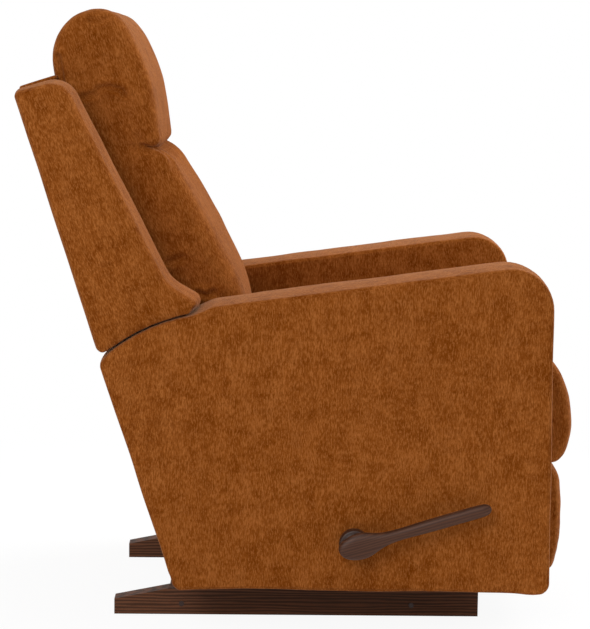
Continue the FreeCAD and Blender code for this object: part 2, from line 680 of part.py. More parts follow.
def make_linkage():
    """The folded footrest links on both sides, each with the rivets that are fast in it."""
    p = link_points()
    to_outer = (MIDDLE_PLANE[0], OUTER_PLANE[1])
    to_middle = (INNER_PLANE[0], MIDDLE_PLANE[1])
    # Each link: its pivots in order, its plane, its open holes, its own rivets and their span.
    # The tail's rivet is flush, because the carrier link passes over it.
    links = {
        "swing_link": (["main", "elbow", "tail"], MIDDLE_PLANE, ["main", "drive"],
                       [("elbow", to_middle), ("tail", to_outer)]),
        "parallel_link": (["second", "heel"], MIDDLE_PLANE, ["second"], [("heel", to_middle)]),
        "carrier_link": (["heel", "elbow", "carrier"], INNER_PLANE, ["heel", "elbow"],
                         [("carrier", to_middle)]),
        "flip_link": (["tail", "flip"], OUTER_PLANE, ["tail", "flip"], []),
        "drive_link": (["crank", "knee", "drive"], OUTER_PLANE, ["crank", "drive"], []),
    }
    for name, (order, plane, open_holes, fast) in links.items():
        half = s.drive_half_width if name == "drive_link" else s.link_half_width
        for word, side in SIDES.items():
            link = bar_shape([p[key] for key in order], span(side, *plane), half,
                             [p[key] for key in open_holes])
            for key, reach in fast:
                link = link.fuse(rivet_shape(side, p[key], *reach, headed=key != "tail"))
            solid_node(f"{name}_{word}", link.removeSplitter())
    to_plate = (MIDDLE_PLANE[0], PLATE_OUTER)
    back = (OUTER_PLANE[0], PLATE_OUTER)
    pins = []
    for side in SIDES.values():
        pins += [rivet(side, p["main"], *to_plate), rivet(side, p["second"], *to_plate),
                 rivet(side, (BACK_Y, BACK_Z), *back)]
    centre("side_plate_rivets", group(*pins))


def make_drive():
    """The handle, its square rod through both side plates, the bushes and the cranks."""
    p = link_points()
    half = s.rod_side / 2
    far = PLATE_OUTER + s.face_gap + s.bush_lip
    handle_face = s.arm_outer_half + s.handle_reach - s.handle_thickness
    centre("drive_rod", group(box((-handle_face + s.face_gap, far), (ROD_Y - half, ROD_Y + half),
                                  (ROD_Z - half, ROD_Z + half))))
    bore = half + s.fit_clearance
    bushes = []
    for word, side in SIDES.items():
        outer = PLATE_OUTER + s.face_gap
        sleeve = rod_x(s.bush_radius, span(side, PLATE_INNER - s.face_gap / 2, outer), ROD_Y, ROD_Z)
        lip = rod_x(s.bush_radius + s.bush_lip, span(side, outer, outer + s.bush_lip), ROD_Y, ROD_Z)
        wide = span(side, PLATE_INNER - s.overrun, outer + s.bush_lip + s.overrun)
        bushes.append(cut(fuse(sleeve, lip), box(wide, (ROD_Y - bore, ROD_Y + bore),
                                                 (ROD_Z - bore, ROD_Z + bore))))
        x = span(side, *MIDDLE_PLANE)
        arm = bar_shape([(ROD_Y, ROD_Z), p["crank"]], x, s.crank_hub_radius, [])
        arm = arm.fuse(rivet_shape(side, p["crank"], MIDDLE_PLANE[0], OUTER_PLANE[1]))
        side_length = float(bore) * 2
        arm = arm.cut(Part.makeBox(float(x[1] - x[0]) + float(s.overrun) * 2, side_length, side_length,
                                   Vector(float(x[0] - s.overrun), float(ROD_Y - bore),
                                          float(ROD_Z - bore))))
        solid_node(f"drive_crank_{word}", arm)
    centre("rod_bushes", group(*bushes))
    # The lever tapers from a round boss to a straight grip that rises towards the front
    start = (ROD_Y, ROD_Z)
    low = -(s.arm_outer_half + s.handle_reach)
    thick = float(s.handle_thickness)
    boss = Part.makeCylinder(float(s.handle_boss_radius), thick,
                             Vector(0, float(ROD_Y), float(ROD_Z)), Vector(1, 0, 0))
    neck = ahead(start, s.handle_neck_reach, s.handle_rise)
    tip = ahead(start, s.handle_length, s.handle_rise)
    lever = boss.fuse(taper_bar(start, neck, s.handle_boss_radius, s.handle_neck, thick))
    lever = lever.fuse(taper_bar(neck, tip, s.handle_neck, s.handle_tip, thick))
    lever = lever.removeSplitter()
    lever.translate(Vector(float(low), 0, 0))
    edges = [e for e in lever.Edges if e.BoundBox.XLength < NEAR]
    lever = lever.makeFillet(float(s.handle_edge_round), edges)
    solid_node("handle_lever", lever)
    hub = (-handle_face + s.face_gap, -handle_face + s.hub_length)
    solid_hub = rod_x(s.hub_radius, hub, ROD_Y, ROD_Z)
    centre("handle_hub", cut(solid_hub, box((hub[0] - s.overrun, hub[1] + s.overrun),
                                            (ROD_Y - bore, ROD_Y + bore),
                                            (ROD_Z - bore, ROD_Z + bore))))


def taper_bar(start, end, first, last, thick):
    """A bar whose half width runs from one value to another between two (y, z) points."""
    y0, z0, y1, z1 = (float(v) for v in (*start, *end))
    reach = math.hypot(y1 - y0, z1 - z0)
    aside = Vector(0, -(z1 - z0) / reach, (y1 - y0) / reach)
    a, b = Vector(0, y0, z0), Vector(0, y1, z1)
    corners = [a + aside * float(first), b + aside * float(last),
               b - aside * float(last), a - aside * float(first)]
    return Part.Face(Part.makePolygon(corners + corners[:1])).extrude(Vector(thick, 0, 0))


# Soft pieces

def rounded_wire(corners, at):
    """A closed wire of lines and arcs; each corner is (a, b, radius) and at() places it."""
    count = len(corners)
    flat = [tuple(float(v) for v in corner) for corner in corners]
    starts, middles, ends = [], [], []
    for i, (a, b, radius) in enumerate(flat):
        before, after = flat[i - 1], flat[(i + 1) % count]
        back = unit(before[0] - a, before[1] - b)
        on = unit(after[0] - a, after[1] - b)
        half = math.acos(max(-1, min(1, back[0] * on[0] + back[1] * on[1]))) / 2
        reach = radius / math.tan(half)
        bisector = unit(back[0] + on[0], back[1] + on[1])
        deep = radius / math.sin(half) - radius
        starts.append((a + back[0] * reach, b + back[1] * reach))
        middles.append((a + bisector[0] * deep, b + bisector[1] * deep))
        ends.append((a + on[0] * reach, b + on[1] * reach))
    edges = []
    for i in range(count):
        edges.append(Part.Arc(at(*starts[i]), at(*middles[i]), at(*ends[i])).toShape())
        edges.append(Part.LineSegment(at(*ends[i]), at(*starts[(i + 1) % count])).toShape())
    return Part.Wire(edges)


def unit(a, b):
    size = math.hypot(a, b)
    return a / size, b / size


# Where a cushion's sections lie, as shares: of its half width, of its crown, of its drawn-in end
HALF_SHARES = [(0.4, 0.84, 0), (0.75, 0.45, 0.03), (0.93, 0.14, 0.3), (1, 0, 1)]
CUSHION_SHARES = [(-x, crown, drawn) for x, crown, drawn in reversed(HALF_SHARES)]
CUSHION_SHARES += [(0, 1, 0)] + HALF_SHARES


def cushion(label, half_width, corners_at, at, seat=None):
    """A soft piece lofted across the chair: crowned in the middle, drawn in at its ends."""
    wires = []
    for across, crown, drawn in CUSHION_SHARES:
        x = float(half_width) * across
        corners = corners_at(s.cushion_crown * crown, s.cushion_end_depth * drawn)
        wires.append(rounded_wire(corners, lambda a, b, x=x: at(x, a, b)))
    if seat is None:
        return solid_node(label, Part.makeLoft(wires, True, False))
    whole = doc.addObject("Part::Feature", "Loft")
    whole.Shape = Part.makeLoft(wires, True, False)
    return centre(label, cut(whole, seat))


def upright_frame(x, a, b):
    return Vector(x, a, b)


def leaned(x, n, t):
    """A point given behind and up along the back's lean, from the recline pivot."""
    lean = math.radians(float(s.back_lean))
    return Vector(x, float(BACK_Y) + n * math.cos(lean) + t * math.sin(lean),
                  float(BACK_Z) - n * math.sin(lean) + t * math.cos(lean))


def leaned_box(x, n, t):
    """A box that leans with the back: low and high X, distance behind and distance up."""
    made = doc.addObject("Part::Box", "LeanedBox")
    made.Placement = Placement(Vector(0, 0, 0), Rotation(Vector(1, 0, 0), -float(s.back_lean)))
    bind(made, Length=x[1] - x[0], Width=n[1] - n[0], Height=t[1] - t[0],
         Placement__Rotation__Angle=-s.back_lean)
    lean_cos, lean_sin = cos_of(s.back_lean), sin_of(s.back_lean)
    place(made, x[0], BACK_Y + n[0] * lean_cos + t[0] * lean_sin,
          BACK_Z - n[0] * lean_sin + t[0] * lean_cos)
    return made


def make_footrest():
    p = link_points()
    face = -s.board_back
    for word, side in SIDES.items():
        edge = s.link_half_width + s.fit_clearance
        plate_low, plate_high = p["flip"][1] - edge, p["carrier"][1] + edge
        near = face + s.face_gap
        web = box(span(side, *MIDDLE_PLANE), (near, p["carrier"][0] + edge), (plate_low, plate_high))
        flange = box(span(side, MIDDLE_PLANE[0] - s.bracket_flange, MIDDLE_PLANE[1]),
                     (near, near + s.link_thickness),
                     (plate_low - s.bracket_drop, plate_high + s.bracket_drop / 2))
        wide = span(side, MIDDLE_PLANE[0] - s.overrun, MIDDLE_PLANE[1] + s.overrun)
        centre(f"footrest_bracket_{word}", cut(fuse(web, flange), rod_x(HOLE, wide, *p["carrier"]),
                                               rod_x(HOLE, wide, *p["flip"])))
    half = ARM_INNER - s.board_side_gap
    front = face - s.board_thickness
    centre("footrest_board", group(box((-half, half), (front, face), (s.board_low, s.board_high))))
    pad_back = front - s.face_gap

    def corners(crown, drawn):
        low, high = s.foot_low + drawn / 2, s.foot_high - drawn / 2
        bulge = -s.foot_front - crown + drawn
        rise = high - low
        soft = s.cushion_round
        return [(pad_back, high, soft * s.pad_back_round_share),
                (bulge + soft, high, soft * s.pad_top_round_share),
                (bulge, high - rise * s.pad_upper_share, soft * s.pad_face_round_share),
                (bulge, low + rise * s.pad_lower_share, soft * s.pad_face_round_share),
                (bulge + soft * s.pad_foot_draw_share, low, soft * s.pad_foot_round_share),
                (pad_back, low, soft * s.pad_back_round_share)]

    cushion("footrest_pad", CUSHION_HALF, corners, upright_frame)


def make_seat():
    """Seat frame with its webbing, the slides in the side plates, and the cushion."""
    rail_top = s.seat_under - s.face_gap
    rail_low = rail_top - s.seat_rail_height
    outer = OUTER_PLANE[0] - s.face_gap
    inner = outer - s.seat_rail_width
    front = -s.seat_front + s.seat_front_depth + s.face_gap
    centre("seat_side_rails", group(*[box(span(side, inner, outer), (front, s.seat_rear),
                                          (rail_low, rail_top)) for side in SIDES.values()]))
    ends = inner - s.face_gap
    centre("seat_cross_rails", group(*[
        box((-ends, ends), (start, start + s.seat_rail_width),
            (rail_low, rail_top - s.web_thickness * 2))
        for start in (front, s.seat_rear - s.seat_rail_width)]))
    webs = []
    pitch = (ends * 2 - s.web_width) / (s.web_count - 1)
    for i in range(int(float(s.web_count))):
        x = -ends + pitch * i
        webs.append(box((x, x + s.web_width), (front, s.seat_rear),
                        (rail_top - s.web_thickness * (s.web_sink_share + 1), rail_top - s.web_thickness * s.web_sink_share)))
    centre("seat_webbing", group(*webs))
    pins = []
    for word, side in SIDES.items():
        (first, _), (second, _) = slot_ends()
        x = span(side, *SLIDE_PLANE)
        drop = s.hanger_drop
        body = box(x, (first[0] - drop, second[0] + drop), (s.slot_height - drop, rail_top))
        wide = span(side, SLIDE_PLANE[0] - s.overrun, SLIDE_PLANE[1] + s.overrun)
        hole = s.slide_pin_radius + s.fit_clearance
        centre(f"seat_hanger_{word}", cut(body, rod_x(hole, wide, *first), rod_x(hole, wide, *second)))
        head = (PLATE_OUTER + s.face_gap, PLATE_OUTER + s.face_gap + s.rivet_head)
        for y, z in (first, second):
            pins.append(fuse(rod_x(s.slide_pin_radius, span(side, SLIDE_PLANE[0], head[0]), y, z),
                             rod_x(s.rivet_head_radius, span(side, *head), y, z)))
    centre("seat_slide_pins", group(*pins))

    def corners(crown, drawn):
        top, under = s.seat_top + crown - drawn, s.seat_under - s.under_trim
        nose, low = -s.seat_front - crown / 4 + drawn, s.seat_front_low + drawn / 2
        deep = s.seat_front_depth
        back = -s.seat_front + deep + s.under_trim
        rise = top - low
        return [(s.seat_rear - drawn / 4, under, s.cushion_round / 2),
                (s.seat_rear - drawn / 4, top - s.cushion_round, s.cushion_round),
                (nose + deep * s.seat_top_share, top, deep * s.seat_top_round_share),
                (nose, top - rise * s.seat_nose_share, deep * s.seat_nose_round_share),
                (nose, low + rise * s.seat_lip_share, deep * s.seat_nose_round_share),
                (nose + deep * s.seat_foot_share, low, deep * s.seat_foot_round_share),
                (back, low + drawn / 4, s.cushion_round / 2), (back, under, s.cushion_round / 4)]

    # The frame's seat is cut flat, so that the cushion lies on its rails
    half = ARM_INNER - s.seat_side_gap
    seat = box((-half - s.overrun, half + s.overrun),
               (-s.seat_front + s.seat_front_depth, s.seat_rear + s.overrun),
               (s.seat_front_low - s.overrun, s.seat_under))
    cushion("seat_cushion", half, corners, upright_frame, seat)


def make_back():
    """The reclining back: frame, steel brackets at its pivot, outer panel, wings, cushions."""
    panel_front = s.panel_back - s.panel_thickness
    rear = panel_front - s.face_gap
    front = rear - s.upright_depth
    outer = OUTER_PLANE[0] - s.face_gap
    inner = outer - s.upright_width
    centre("back_uprights", group(*[leaned_box(span(side, inner, outer), (front, rear),
                                               (s.frame_low, s.frame_high))
                                    for side in SIDES.values()]))
    ends = inner - s.face_gap
    rails = [leaned_box((-ends, ends), (front, rear), (t, t + s.frame_rail_height))
             for t in (s.frame_low, s.frame_mid_rail, s.frame_high - s.frame_rail_height)]
    centre("back_cross_rails", group(*rails))
    middle = rear - s.upright_depth / 2
    for word, side in SIDES.items():
        points = [(BACK_Y, BACK_Z), spot(s.back_arm_heel, s.back_arm_rise),
                  spot(middle, s.back_arm_top)]
        solid_node(f"back_bracket_{word}", bar_shape(
            points, span(side, *OUTER_PLANE), s.back_arm_half_width, points[:1]))
    panel_half = ARM_INNER - s.wing_gap
    centre("back_panel", group(leaned_box((-panel_half, panel_half), (panel_front, s.panel_back),
                                          (s.panel_low, s.panel_top))))
    radius = s.parting_radius + s.parting_gap
    start = s.wing_front_reach + s.wing_tip_length

    def arc_height(y):
        return BACK_Z + root_of(radius * radius - (y - BACK_Y) * (y - BACK_Y))

    rise = s.wing_peak_height - s.wing_low_front
    knee = (s.wing_knee_rear, s.wing_low_front + rise * s.wing_knee_share)
    peak = (s.wing_peak_rear, s.wing_peak_height)
    heel = (s.wing_back_rear, s.wing_peak_height - rise * s.wing_back_share)
    outline = [(start, arc_height(start), BACK_Y, BACK_Z, radius),
               (s.wing_arc_rear, arc_height(s.wing_arc_rear)),
               heel, peak, knee, (s.wing_front_reach, s.wing_low_front)]
    for word, side in SIDES.items():
        across = span(side, ARM_INNER - s.wing_gap + s.face_gap,
                      s.arm_outer_half - s.wing_side_inset)
        wing = plate(outline, across)
        for corner, radius_here in ((knee, s.wing_knee_round), (peak, s.wing_peak_round),
                                    (heel, s.wing_edge_round)):
            round_edges(wing, radius_here, corner_edge(*corner))
        round_edges(wing, s.wing_edge_round, along_side(across))
        centre(f"wing_{word}", wing)

    def lumbar(crown, drawn):
        low, high = s.lumbar_low, s.lumbar_high
        belly = -s.lumbar_front - crown + drawn
        back = front - s.face_gap
        rise = high - low
        soft = s.cushion_round
        return [(back, low, soft / 2), (back, high, soft / 2),
                (-s.lumbar_shoulder + soft + drawn / 2, high, soft * s.lumbar_shoulder_round_share),
                (belly, low + rise * s.lumbar_belly_share, s.lumbar_front),
                (belly, low + soft, soft), (belly + soft * s.lumbar_foot_share, low, soft / 2)]

    def pillow(crown, drawn):
        low, high = s.pillow_low, s.pillow_high + crown / 4 - drawn / 2
        face, back = -s.pillow_front - crown / 2 + drawn, s.pillow_back - drawn / 4
        rise = high - low
        rear_round = rise * s.pillow_rear_round_share
        face_round = rise * s.pillow_face_round_share
        return [(back, low, s.cushion_round / 2),
                (back, high - rise * s.pillow_rear_drop_share, rear_round),
                (back - rise * s.pillow_rear_share, high, rear_round),
                (face + rise * s.pillow_front_share, high, rise * s.pillow_front_round_share),
                (face, high - rise * s.pillow_brow_share, face_round),
                (face, low + rise * s.pillow_chin_share, face_round),
                (face + s.cushion_round * s.pillow_foot_share, low, s.cushion_round / 2)]

    cushion("lumbar_cushion", CUSHION_HALF, lumbar, leaned)
    cushion("head_cushion", CUSHION_HALF, pillow, leaned)


def spot(n, t):
    """The same place as leaned(), as a (y, z) pair of sheet expressions."""
    lean_cos, lean_sin = cos_of(s.back_lean), sin_of(s.back_lean)
    return BACK_Y + n * lean_cos + t * lean_sin, BACK_Z - n * lean_sin + t * lean_cos


def make_rear():
    """The stretcher and the covered panel that close the box behind."""
    half = ARM_INNER - s.face_gap
    panel_front = s.panel_back - s.rear_panel_thickness
    behind = panel_front - s.face_gap
    low = s.rear_panel_low + s.stretcher_drop
    centre("rear_stretcher", group(leaned_box(
        (-half, half), (behind - s.stretcher_depth, behind), (low, low + s.stretcher_height))))
    centre("rear_panel", group(leaned_box(
        (-half, half), (panel_front, s.panel_back),
        (s.rear_panel_low, s.rear_panel_high))))


make_base()
make_rocker()
make_side_plates()
make_arms()
make_linkage()
make_drive()
make_footrest()
make_seat()
make_back()
make_rear()
doc.recompute()

bad = [obj.Label for obj in doc.Objects if {"Invalid", "Error"} & set(obj.State)]
for name, obj in NODES.items():
    if obj.Shape.isNull() or not obj.Shape.isValid() or not obj.Shape.Solids:
        bad.append(name)
if bad:
    raise RuntimeError(f"pieces that failed to build: {bad}")

os.makedirs("parts", exist_ok=True)
for name, obj in NODES.items():
    obj.Shape.exportStep(f"parts/{name}.step")
whole = Part.makeCompound([obj.Shape for obj in NODES.values()])
print(len(NODES), "pieces,", sum(len(obj.Shape.Solids) for obj in NODES.values()), "solids,",
      "box", whole.BoundBox)
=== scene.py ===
"""Looks of the upholstered rocker recliner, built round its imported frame."""

import json
import math

import bmesh
import bpy
import numpy as np
from mathutils import Matrix, Vector, noise
from mathutils.geometry import delaunay_2d_cdt


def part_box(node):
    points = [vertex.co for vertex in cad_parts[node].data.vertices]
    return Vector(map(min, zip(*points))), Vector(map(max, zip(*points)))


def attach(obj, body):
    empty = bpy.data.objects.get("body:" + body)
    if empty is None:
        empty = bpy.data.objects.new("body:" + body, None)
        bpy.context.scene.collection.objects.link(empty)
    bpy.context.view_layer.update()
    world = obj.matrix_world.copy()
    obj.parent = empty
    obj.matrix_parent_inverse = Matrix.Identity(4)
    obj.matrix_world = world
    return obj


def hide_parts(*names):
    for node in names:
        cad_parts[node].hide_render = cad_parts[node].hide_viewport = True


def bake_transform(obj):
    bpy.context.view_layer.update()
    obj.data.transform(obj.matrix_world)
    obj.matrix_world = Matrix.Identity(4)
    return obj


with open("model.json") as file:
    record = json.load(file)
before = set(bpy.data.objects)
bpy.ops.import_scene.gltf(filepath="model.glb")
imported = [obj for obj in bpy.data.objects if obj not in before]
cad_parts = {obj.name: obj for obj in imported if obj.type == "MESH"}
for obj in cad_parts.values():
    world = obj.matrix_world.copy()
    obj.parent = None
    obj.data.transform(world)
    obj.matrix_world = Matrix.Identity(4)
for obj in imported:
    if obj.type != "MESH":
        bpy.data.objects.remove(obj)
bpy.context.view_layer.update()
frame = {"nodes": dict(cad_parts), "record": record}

# Places of the chair, in metres. The chair faces -Y and its handle is on the -X side.
MIDDLE = 0.0225
LEAN = math.radians(18.2)
PIVOT_Y, PIVOT_Z = 0.107, 0.204
SIDES = {"left": 1, "right": -1}
# Places closer than this are one place
MERGED_WITHIN = 1e-6


# Small helpers

def new_object(name, mesh):
    """Puts a mesh into the scene as an object of the same name."""
    piece = bpy.data.objects.new(name, mesh)
    bpy.context.scene.collection.objects.link(piece)
    return piece


def evaluated_mesh(piece):
    """The piece's mesh with its modifiers in it."""
    graph = bpy.context.evaluated_depsgraph_get()
    graph.update()
    return bpy.data.meshes.new_from_object(piece.evaluated_get(graph))


def settle(piece):
    """Puts the modifiers' result into the piece and takes the modifiers off."""
    mesh = evaluated_mesh(piece)
    piece.modifiers.clear()
    piece.data = mesh


def places_of(mesh):
    """The mesh's places, one row each."""
    co = np.empty(len(mesh.vertices) * 3, np.float32)
    mesh.vertices.foreach_get("co", co)
    return co.reshape(-1, 3).astype(float)


def normals_of(mesh):
    """The outward direction at each place of the mesh."""
    co = np.empty(len(mesh.vertices) * 3, np.float32)
    mesh.vertex_normals.foreach_get("vector", co)
    return co.reshape(-1, 3).astype(float)


def set_places(mesh, co):
    """Moves the mesh's places to the given ones."""
    mesh.vertices.foreach_set("co", co.astype(np.float32).ravel())
    mesh.update()


def leaned(x, n, t):
    """A place behind and up along the back's lean, from the recline pivot."""
    return (x, PIVOT_Y + n * math.cos(LEAN) + t * math.sin(LEAN),
            PIVOT_Z - n * math.sin(LEAN) + t * math.cos(LEAN))


def lean_parts(y, z):
    """How far a step along y and z goes behind and up in the leaned frame."""
    return (y * math.cos(LEAN) - z * math.sin(LEAN), y * math.sin(LEAN) + z * math.cos(LEAN))


def along_lean(co):
    """The behind and up parts of places, in the leaned frame."""
    return lean_parts(co[:, 1] - PIVOT_Y, co[:, 2] - PIVOT_Z)


def bump_of(value, width):
    """1 on a line, fading to 0 within the width."""
    return np.exp(-(value / width) ** 2)


def soft_noise(co, size, seed):
    """Smooth random values, one for each place, whose waves are about that long."""
    shift = Vector((seed * 7.13, seed * 3.71, seed * 5.37))
    return np.array([noise.noise(Vector(p) / size + shift) for p in co])


def push(mesh, amounts):
    """Moves each vertex along its normal."""
    set_places(mesh, places_of(mesh) + normals_of(mesh) * amounts[:, None])


def ring_faces(rings, count):
    """Four-sided faces that join rings of count places, each ring to the next."""
    faces = []
    for r in range(rings - 1):
        for i in range(count):
            j = (i + 1) % count
            faces.append((r * count + i, r * count + j, (r + 1) * count + j, (r + 1) * count + i))
    return faces


def closed_piece(name, verts, faces):
    """A new piece whose doubled places are merged and whose faces point outwards."""
    mesh = bpy.data.meshes.new(name)
    mesh.from_pydata([tuple(map(float, v)) for v in verts], [], faces)
    work = bmesh.new()
    work.from_mesh(mesh)
    bmesh.ops.remove_doubles(work, verts=work.verts, dist=MERGED_WITHIN)
    bmesh.ops.recalc_face_normals(work, faces=work.faces)
    work.to_mesh(mesh)
    work.free()
    return new_object(name, mesh)


def finish_piece(piece, body, material, replaced=()):
    """Dresses a piece and says what it rides on and what it replaces."""
    piece.data.materials.clear()
    piece.data.materials.append(material)
    piece.data.shade_smooth()
    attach(piece, body)
    if replaced:
        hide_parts(*replaced)


# Shader trees

class Tree:
    """Adds nodes to a tree; an input is a socket to link or a plain value."""

    def __init__(self, tree):
        self.tree = tree

    def add(self, kind, inputs=None, **settings):
        made = self.tree.nodes.new(kind)
        for key, value in settings.items():
            setattr(made, key, value)
        for key, value in (inputs or {}).items():
            if isinstance(value, bpy.types.NodeSocket):
                self.tree.links.new(value, made.inputs[key])
            else:
                made.inputs[key].default_value = value
        return made

    def math(self, operation, a, b=0.0):
        return self.add("ShaderNodeMath", {0: a, 1: b}, operation=operation).outputs[0]

    def mix(self, share, a, b):
        """A colour between a and b."""
        return self.add("ShaderNodeMix", {0: share, 6: a, 7: b}, data_type="RGBA").outputs[2]

    def blend(self, share, a, b):
        """A value between a and b."""
        return self.add("ShaderNodeMix", {0: share, 2: a, 3: b}, data_type="FLOAT").outputs[0]

    def noise(self, vector, scale, detail=2.0, roughness=0.5):
        return self.add("ShaderNodeTexNoise", {"Vector": vector, "Scale": scale, "Detail": detail,
                                               "Roughness": roughness}).outputs[0]

    def between(self, value, low, high):
        """0 below the low value and 1 above the high one."""
        limits = {"Value": value, "From Min": low, "From Max": high}
        return self.add("ShaderNodeMapRange", limits, interpolation_type="SMOOTHSTEP").outputs[0]

    def stretched(self, vector, scale):
        """A place whose pattern is stretched along the axes with a scale below 1."""
        factors = {0: vector, 1: scale}
        return self.add("ShaderNodeVectorMath", factors, operation="MULTIPLY").outputs[0]

    def seen_directly(self):
        """1 on what the camera sees, also in a mirror or through glass, and 0 in the light."""
        path = self.add("ShaderNodeLightPath").outputs
        shown = self.math("MAXIMUM", path["Is Camera Ray"], path["Is Glossy Ray"])
        return self.math("MAXIMUM", shown, path["Is Transmission Ray"])


PATTERN_OUTPUTS = (("Color", "NodeSocketColor"), ("Roughness", "NodeSocketFloat"),
                   ("Height", "NodeSocketFloat"))


def effect_group(name, inputs):
    """An empty shader group with named sockets: the group, its tree helper and its inputs."""
    group = bpy.data.node_groups.new(name, "ShaderNodeTree")
    for label, kind, value in inputs:
        socket = group.interface.new_socket(label, in_out="INPUT", socket_type=kind)
        if value is not None:
            socket.default_value = value
    for label, kind in PATTERN_OUTPUTS:
        group.interface.new_socket(label, in_out="OUTPUT", socket_type=kind)
    tree = Tree(group)
    return group, tree, tree.add("NodeGroupInput").outputs


def chenille_group():
    """Cut pile chenille: dark blotches, short upright streaks of yarn and a fuzzy surface."""
    group, t, given = effect_group(
        "Chenille pile",
        [("Vector", "NodeSocketVector", None), ("Facing", "NodeSocketVector", None),
         ("Yarn", "NodeSocketColor", (0.25, 0.07, 0.013, 1)),
         ("Shade", "NodeSocketColor", (0.15, 0.035, 0.004, 1)),
         ("Pale", "NodeSocketColor", (0.42, 0.16, 0.05, 1)),
         ("Streak scale", "NodeSocketFloat", 520.0), ("Blotch scale", "NodeSocketFloat", 21.0)])
    facing = t.add("ShaderNodeSeparateXYZ", {0: given["Facing"]}).outputs
    level = t.between(t.math("ABSOLUTE", facing[2]), 0.62, 0.82)
    upright = t.stretched(given["Vector"], (1.0, 1.0, 0.26))
    lying = t.stretched(given["Vector"], (1.0, 0.26, 1.0))
    streaks = [t.noise(v, given["Streak scale"], 2.0, 0.7) for v in (upright, lying)]
    streak = t.blend(level, *streaks)
    fuzz = t.noise(given["Vector"], 900.0, 1.0)
    crush = [t.noise(t.stretched(given["Vector"], scale),
                     t.math("MULTIPLY", given["Blotch scale"], 2.6), 3.0, 0.6)
             for scale in ((1.0, 1.0, 0.42), (1.0, 0.42, 1.0))]
    wide = t.noise(given["Vector"], given["Blotch scale"], 3.0, 0.55)
    blotch = t.math("ADD", t.math("MULTIPLY", t.between(wide, 0.44, 0.66), 0.32),
                    t.math("ADD", t.math("MULTIPLY", t.between(crush[0], 0.48, 0.66), 0.38),
                           t.math("MULTIPLY", t.between(crush[1], 0.48, 0.66), 0.38)))
    color = t.mix(blotch, given["Yarn"], given["Shade"])
    color = t.mix(t.math("MULTIPLY", t.between(crush[0], 0.5, 0.34), 0.16), color, given["Pale"])
    color = t.mix(t.math("MULTIPLY", t.between(streak, 0.50, 0.64), 0.44), color, given["Pale"])
    color = t.mix(t.math("MULTIPLY", t.between(streak, 0.50, 0.36), 0.62), color, given["Shade"])
    color = t.mix(t.math("MULTIPLY", t.between(fuzz, 0.56, 0.7), 0.2), color, given["Pale"])
    rough = t.math("ADD", t.math("MULTIPLY", streak, 0.12), 0.84)
    height = t.math("ADD", t.math("MULTIPLY", streak, 0.7), t.math("MULTIPLY", fuzz, 0.3))
    t.add("NodeGroupOutput", {"Color": color, "Roughness": rough, "Height": height})
    return group


def wood_group():
    """Stained walnut: long grain bands, fine pores and lighter worn patches."""
    group, t, given = effect_group(
        "Walnut grain",
        [("Vector", "NodeSocketVector", None), ("Dark", "NodeSocketColor", (0.02, 0.01, 0.006, 1)),
         ("Light", "NodeSocketColor", (0.09, 0.04, 0.02, 1)),
         ("Grain scale", "NodeSocketFloat", 60.0), ("Roughness", "NodeSocketFloat", 0.42)])
    long_way = t.stretched(given["Vector"], (1.0, 0.07, 1.0))
    warp = t.noise(long_way, t.math("MULTIPLY", given["Grain scale"], 0.4), 3.0)
    bands = t.add("ShaderNodeTexWave", {"Vector": long_way, "Scale": given["Grain scale"],
                                        "Distortion": 6.0, "Detail": 3.0, "Detail Scale": 1.5},
                  bands_direction="Z").outputs[1]
    pores = t.noise(t.stretched(given["Vector"], (1.0, 0.03, 1.0)),
                    t.math("MULTIPLY", given["Grain scale"], 14.0), 2.0, 0.7)
    share = t.math("ADD", t.math("MULTIPLY", bands, 0.45), t.math("MULTIPLY", warp, 0.55))
    color = t.mix(t.between(share, 0.2, 0.8), given["Dark"], given["Light"])
    color = t.mix(t.math("MULTIPLY", t.between(pores, 0.56, 0.72), 0.6), color, given["Dark"])
    rough = t.math("ADD", given["Roughness"], t.math("MULTIPLY", pores, 0.16))
    height = t.math("SUBTRACT", t.math("MULTIPLY", share, 0.3), t.math("MULTIPLY", pores, 0.7))
    t.add("NodeGroupOutput", {"Color": color, "Roughness": rough, "Height": height})
    return group


def metal_group():
    """Rolled steel: faint rolling streaks, crystal patches and dull handling marks."""
    group, t, given = effect_group(
        "Rolled steel",
        [("Vector", "NodeSocketVector", None), ("Base", "NodeSocketColor", (0.5, 0.5, 0.5, 1)),
         ("Mark", "NodeSocketColor", (0.3, 0.3, 0.3, 1)), ("Roughness", "NodeSocketFloat", 0.35)])
    patches = t.add("ShaderNodeTexVoronoi", {"Vector": given["Vector"], "Scale": 90.0}).outputs[1]
    patch = t.add("ShaderNodeSeparateColor", {0: patches}).outputs[0]
    streak = t.noise(t.stretched(given["Vector"], (1.0, 1.0, 0.05)), 500.0, 2.0)
    marks = t.noise(given["Vector"], 35.0, 4.0, 0.65)
    share = t.math("ADD", t.math("MULTIPLY", patch, 0.3),
                   t.math("MULTIPLY", t.between(marks, 0.45, 0.7), 0.6))
    color = t.mix(share, given["Base"], given["Mark"])
    rough = t.math("ADD", given["Roughness"], t.math("MULTIPLY", marks, 0.25))
    t.add("NodeGroupOutput", {"Color": color, "Roughness": rough, "Height": streak})
    return group


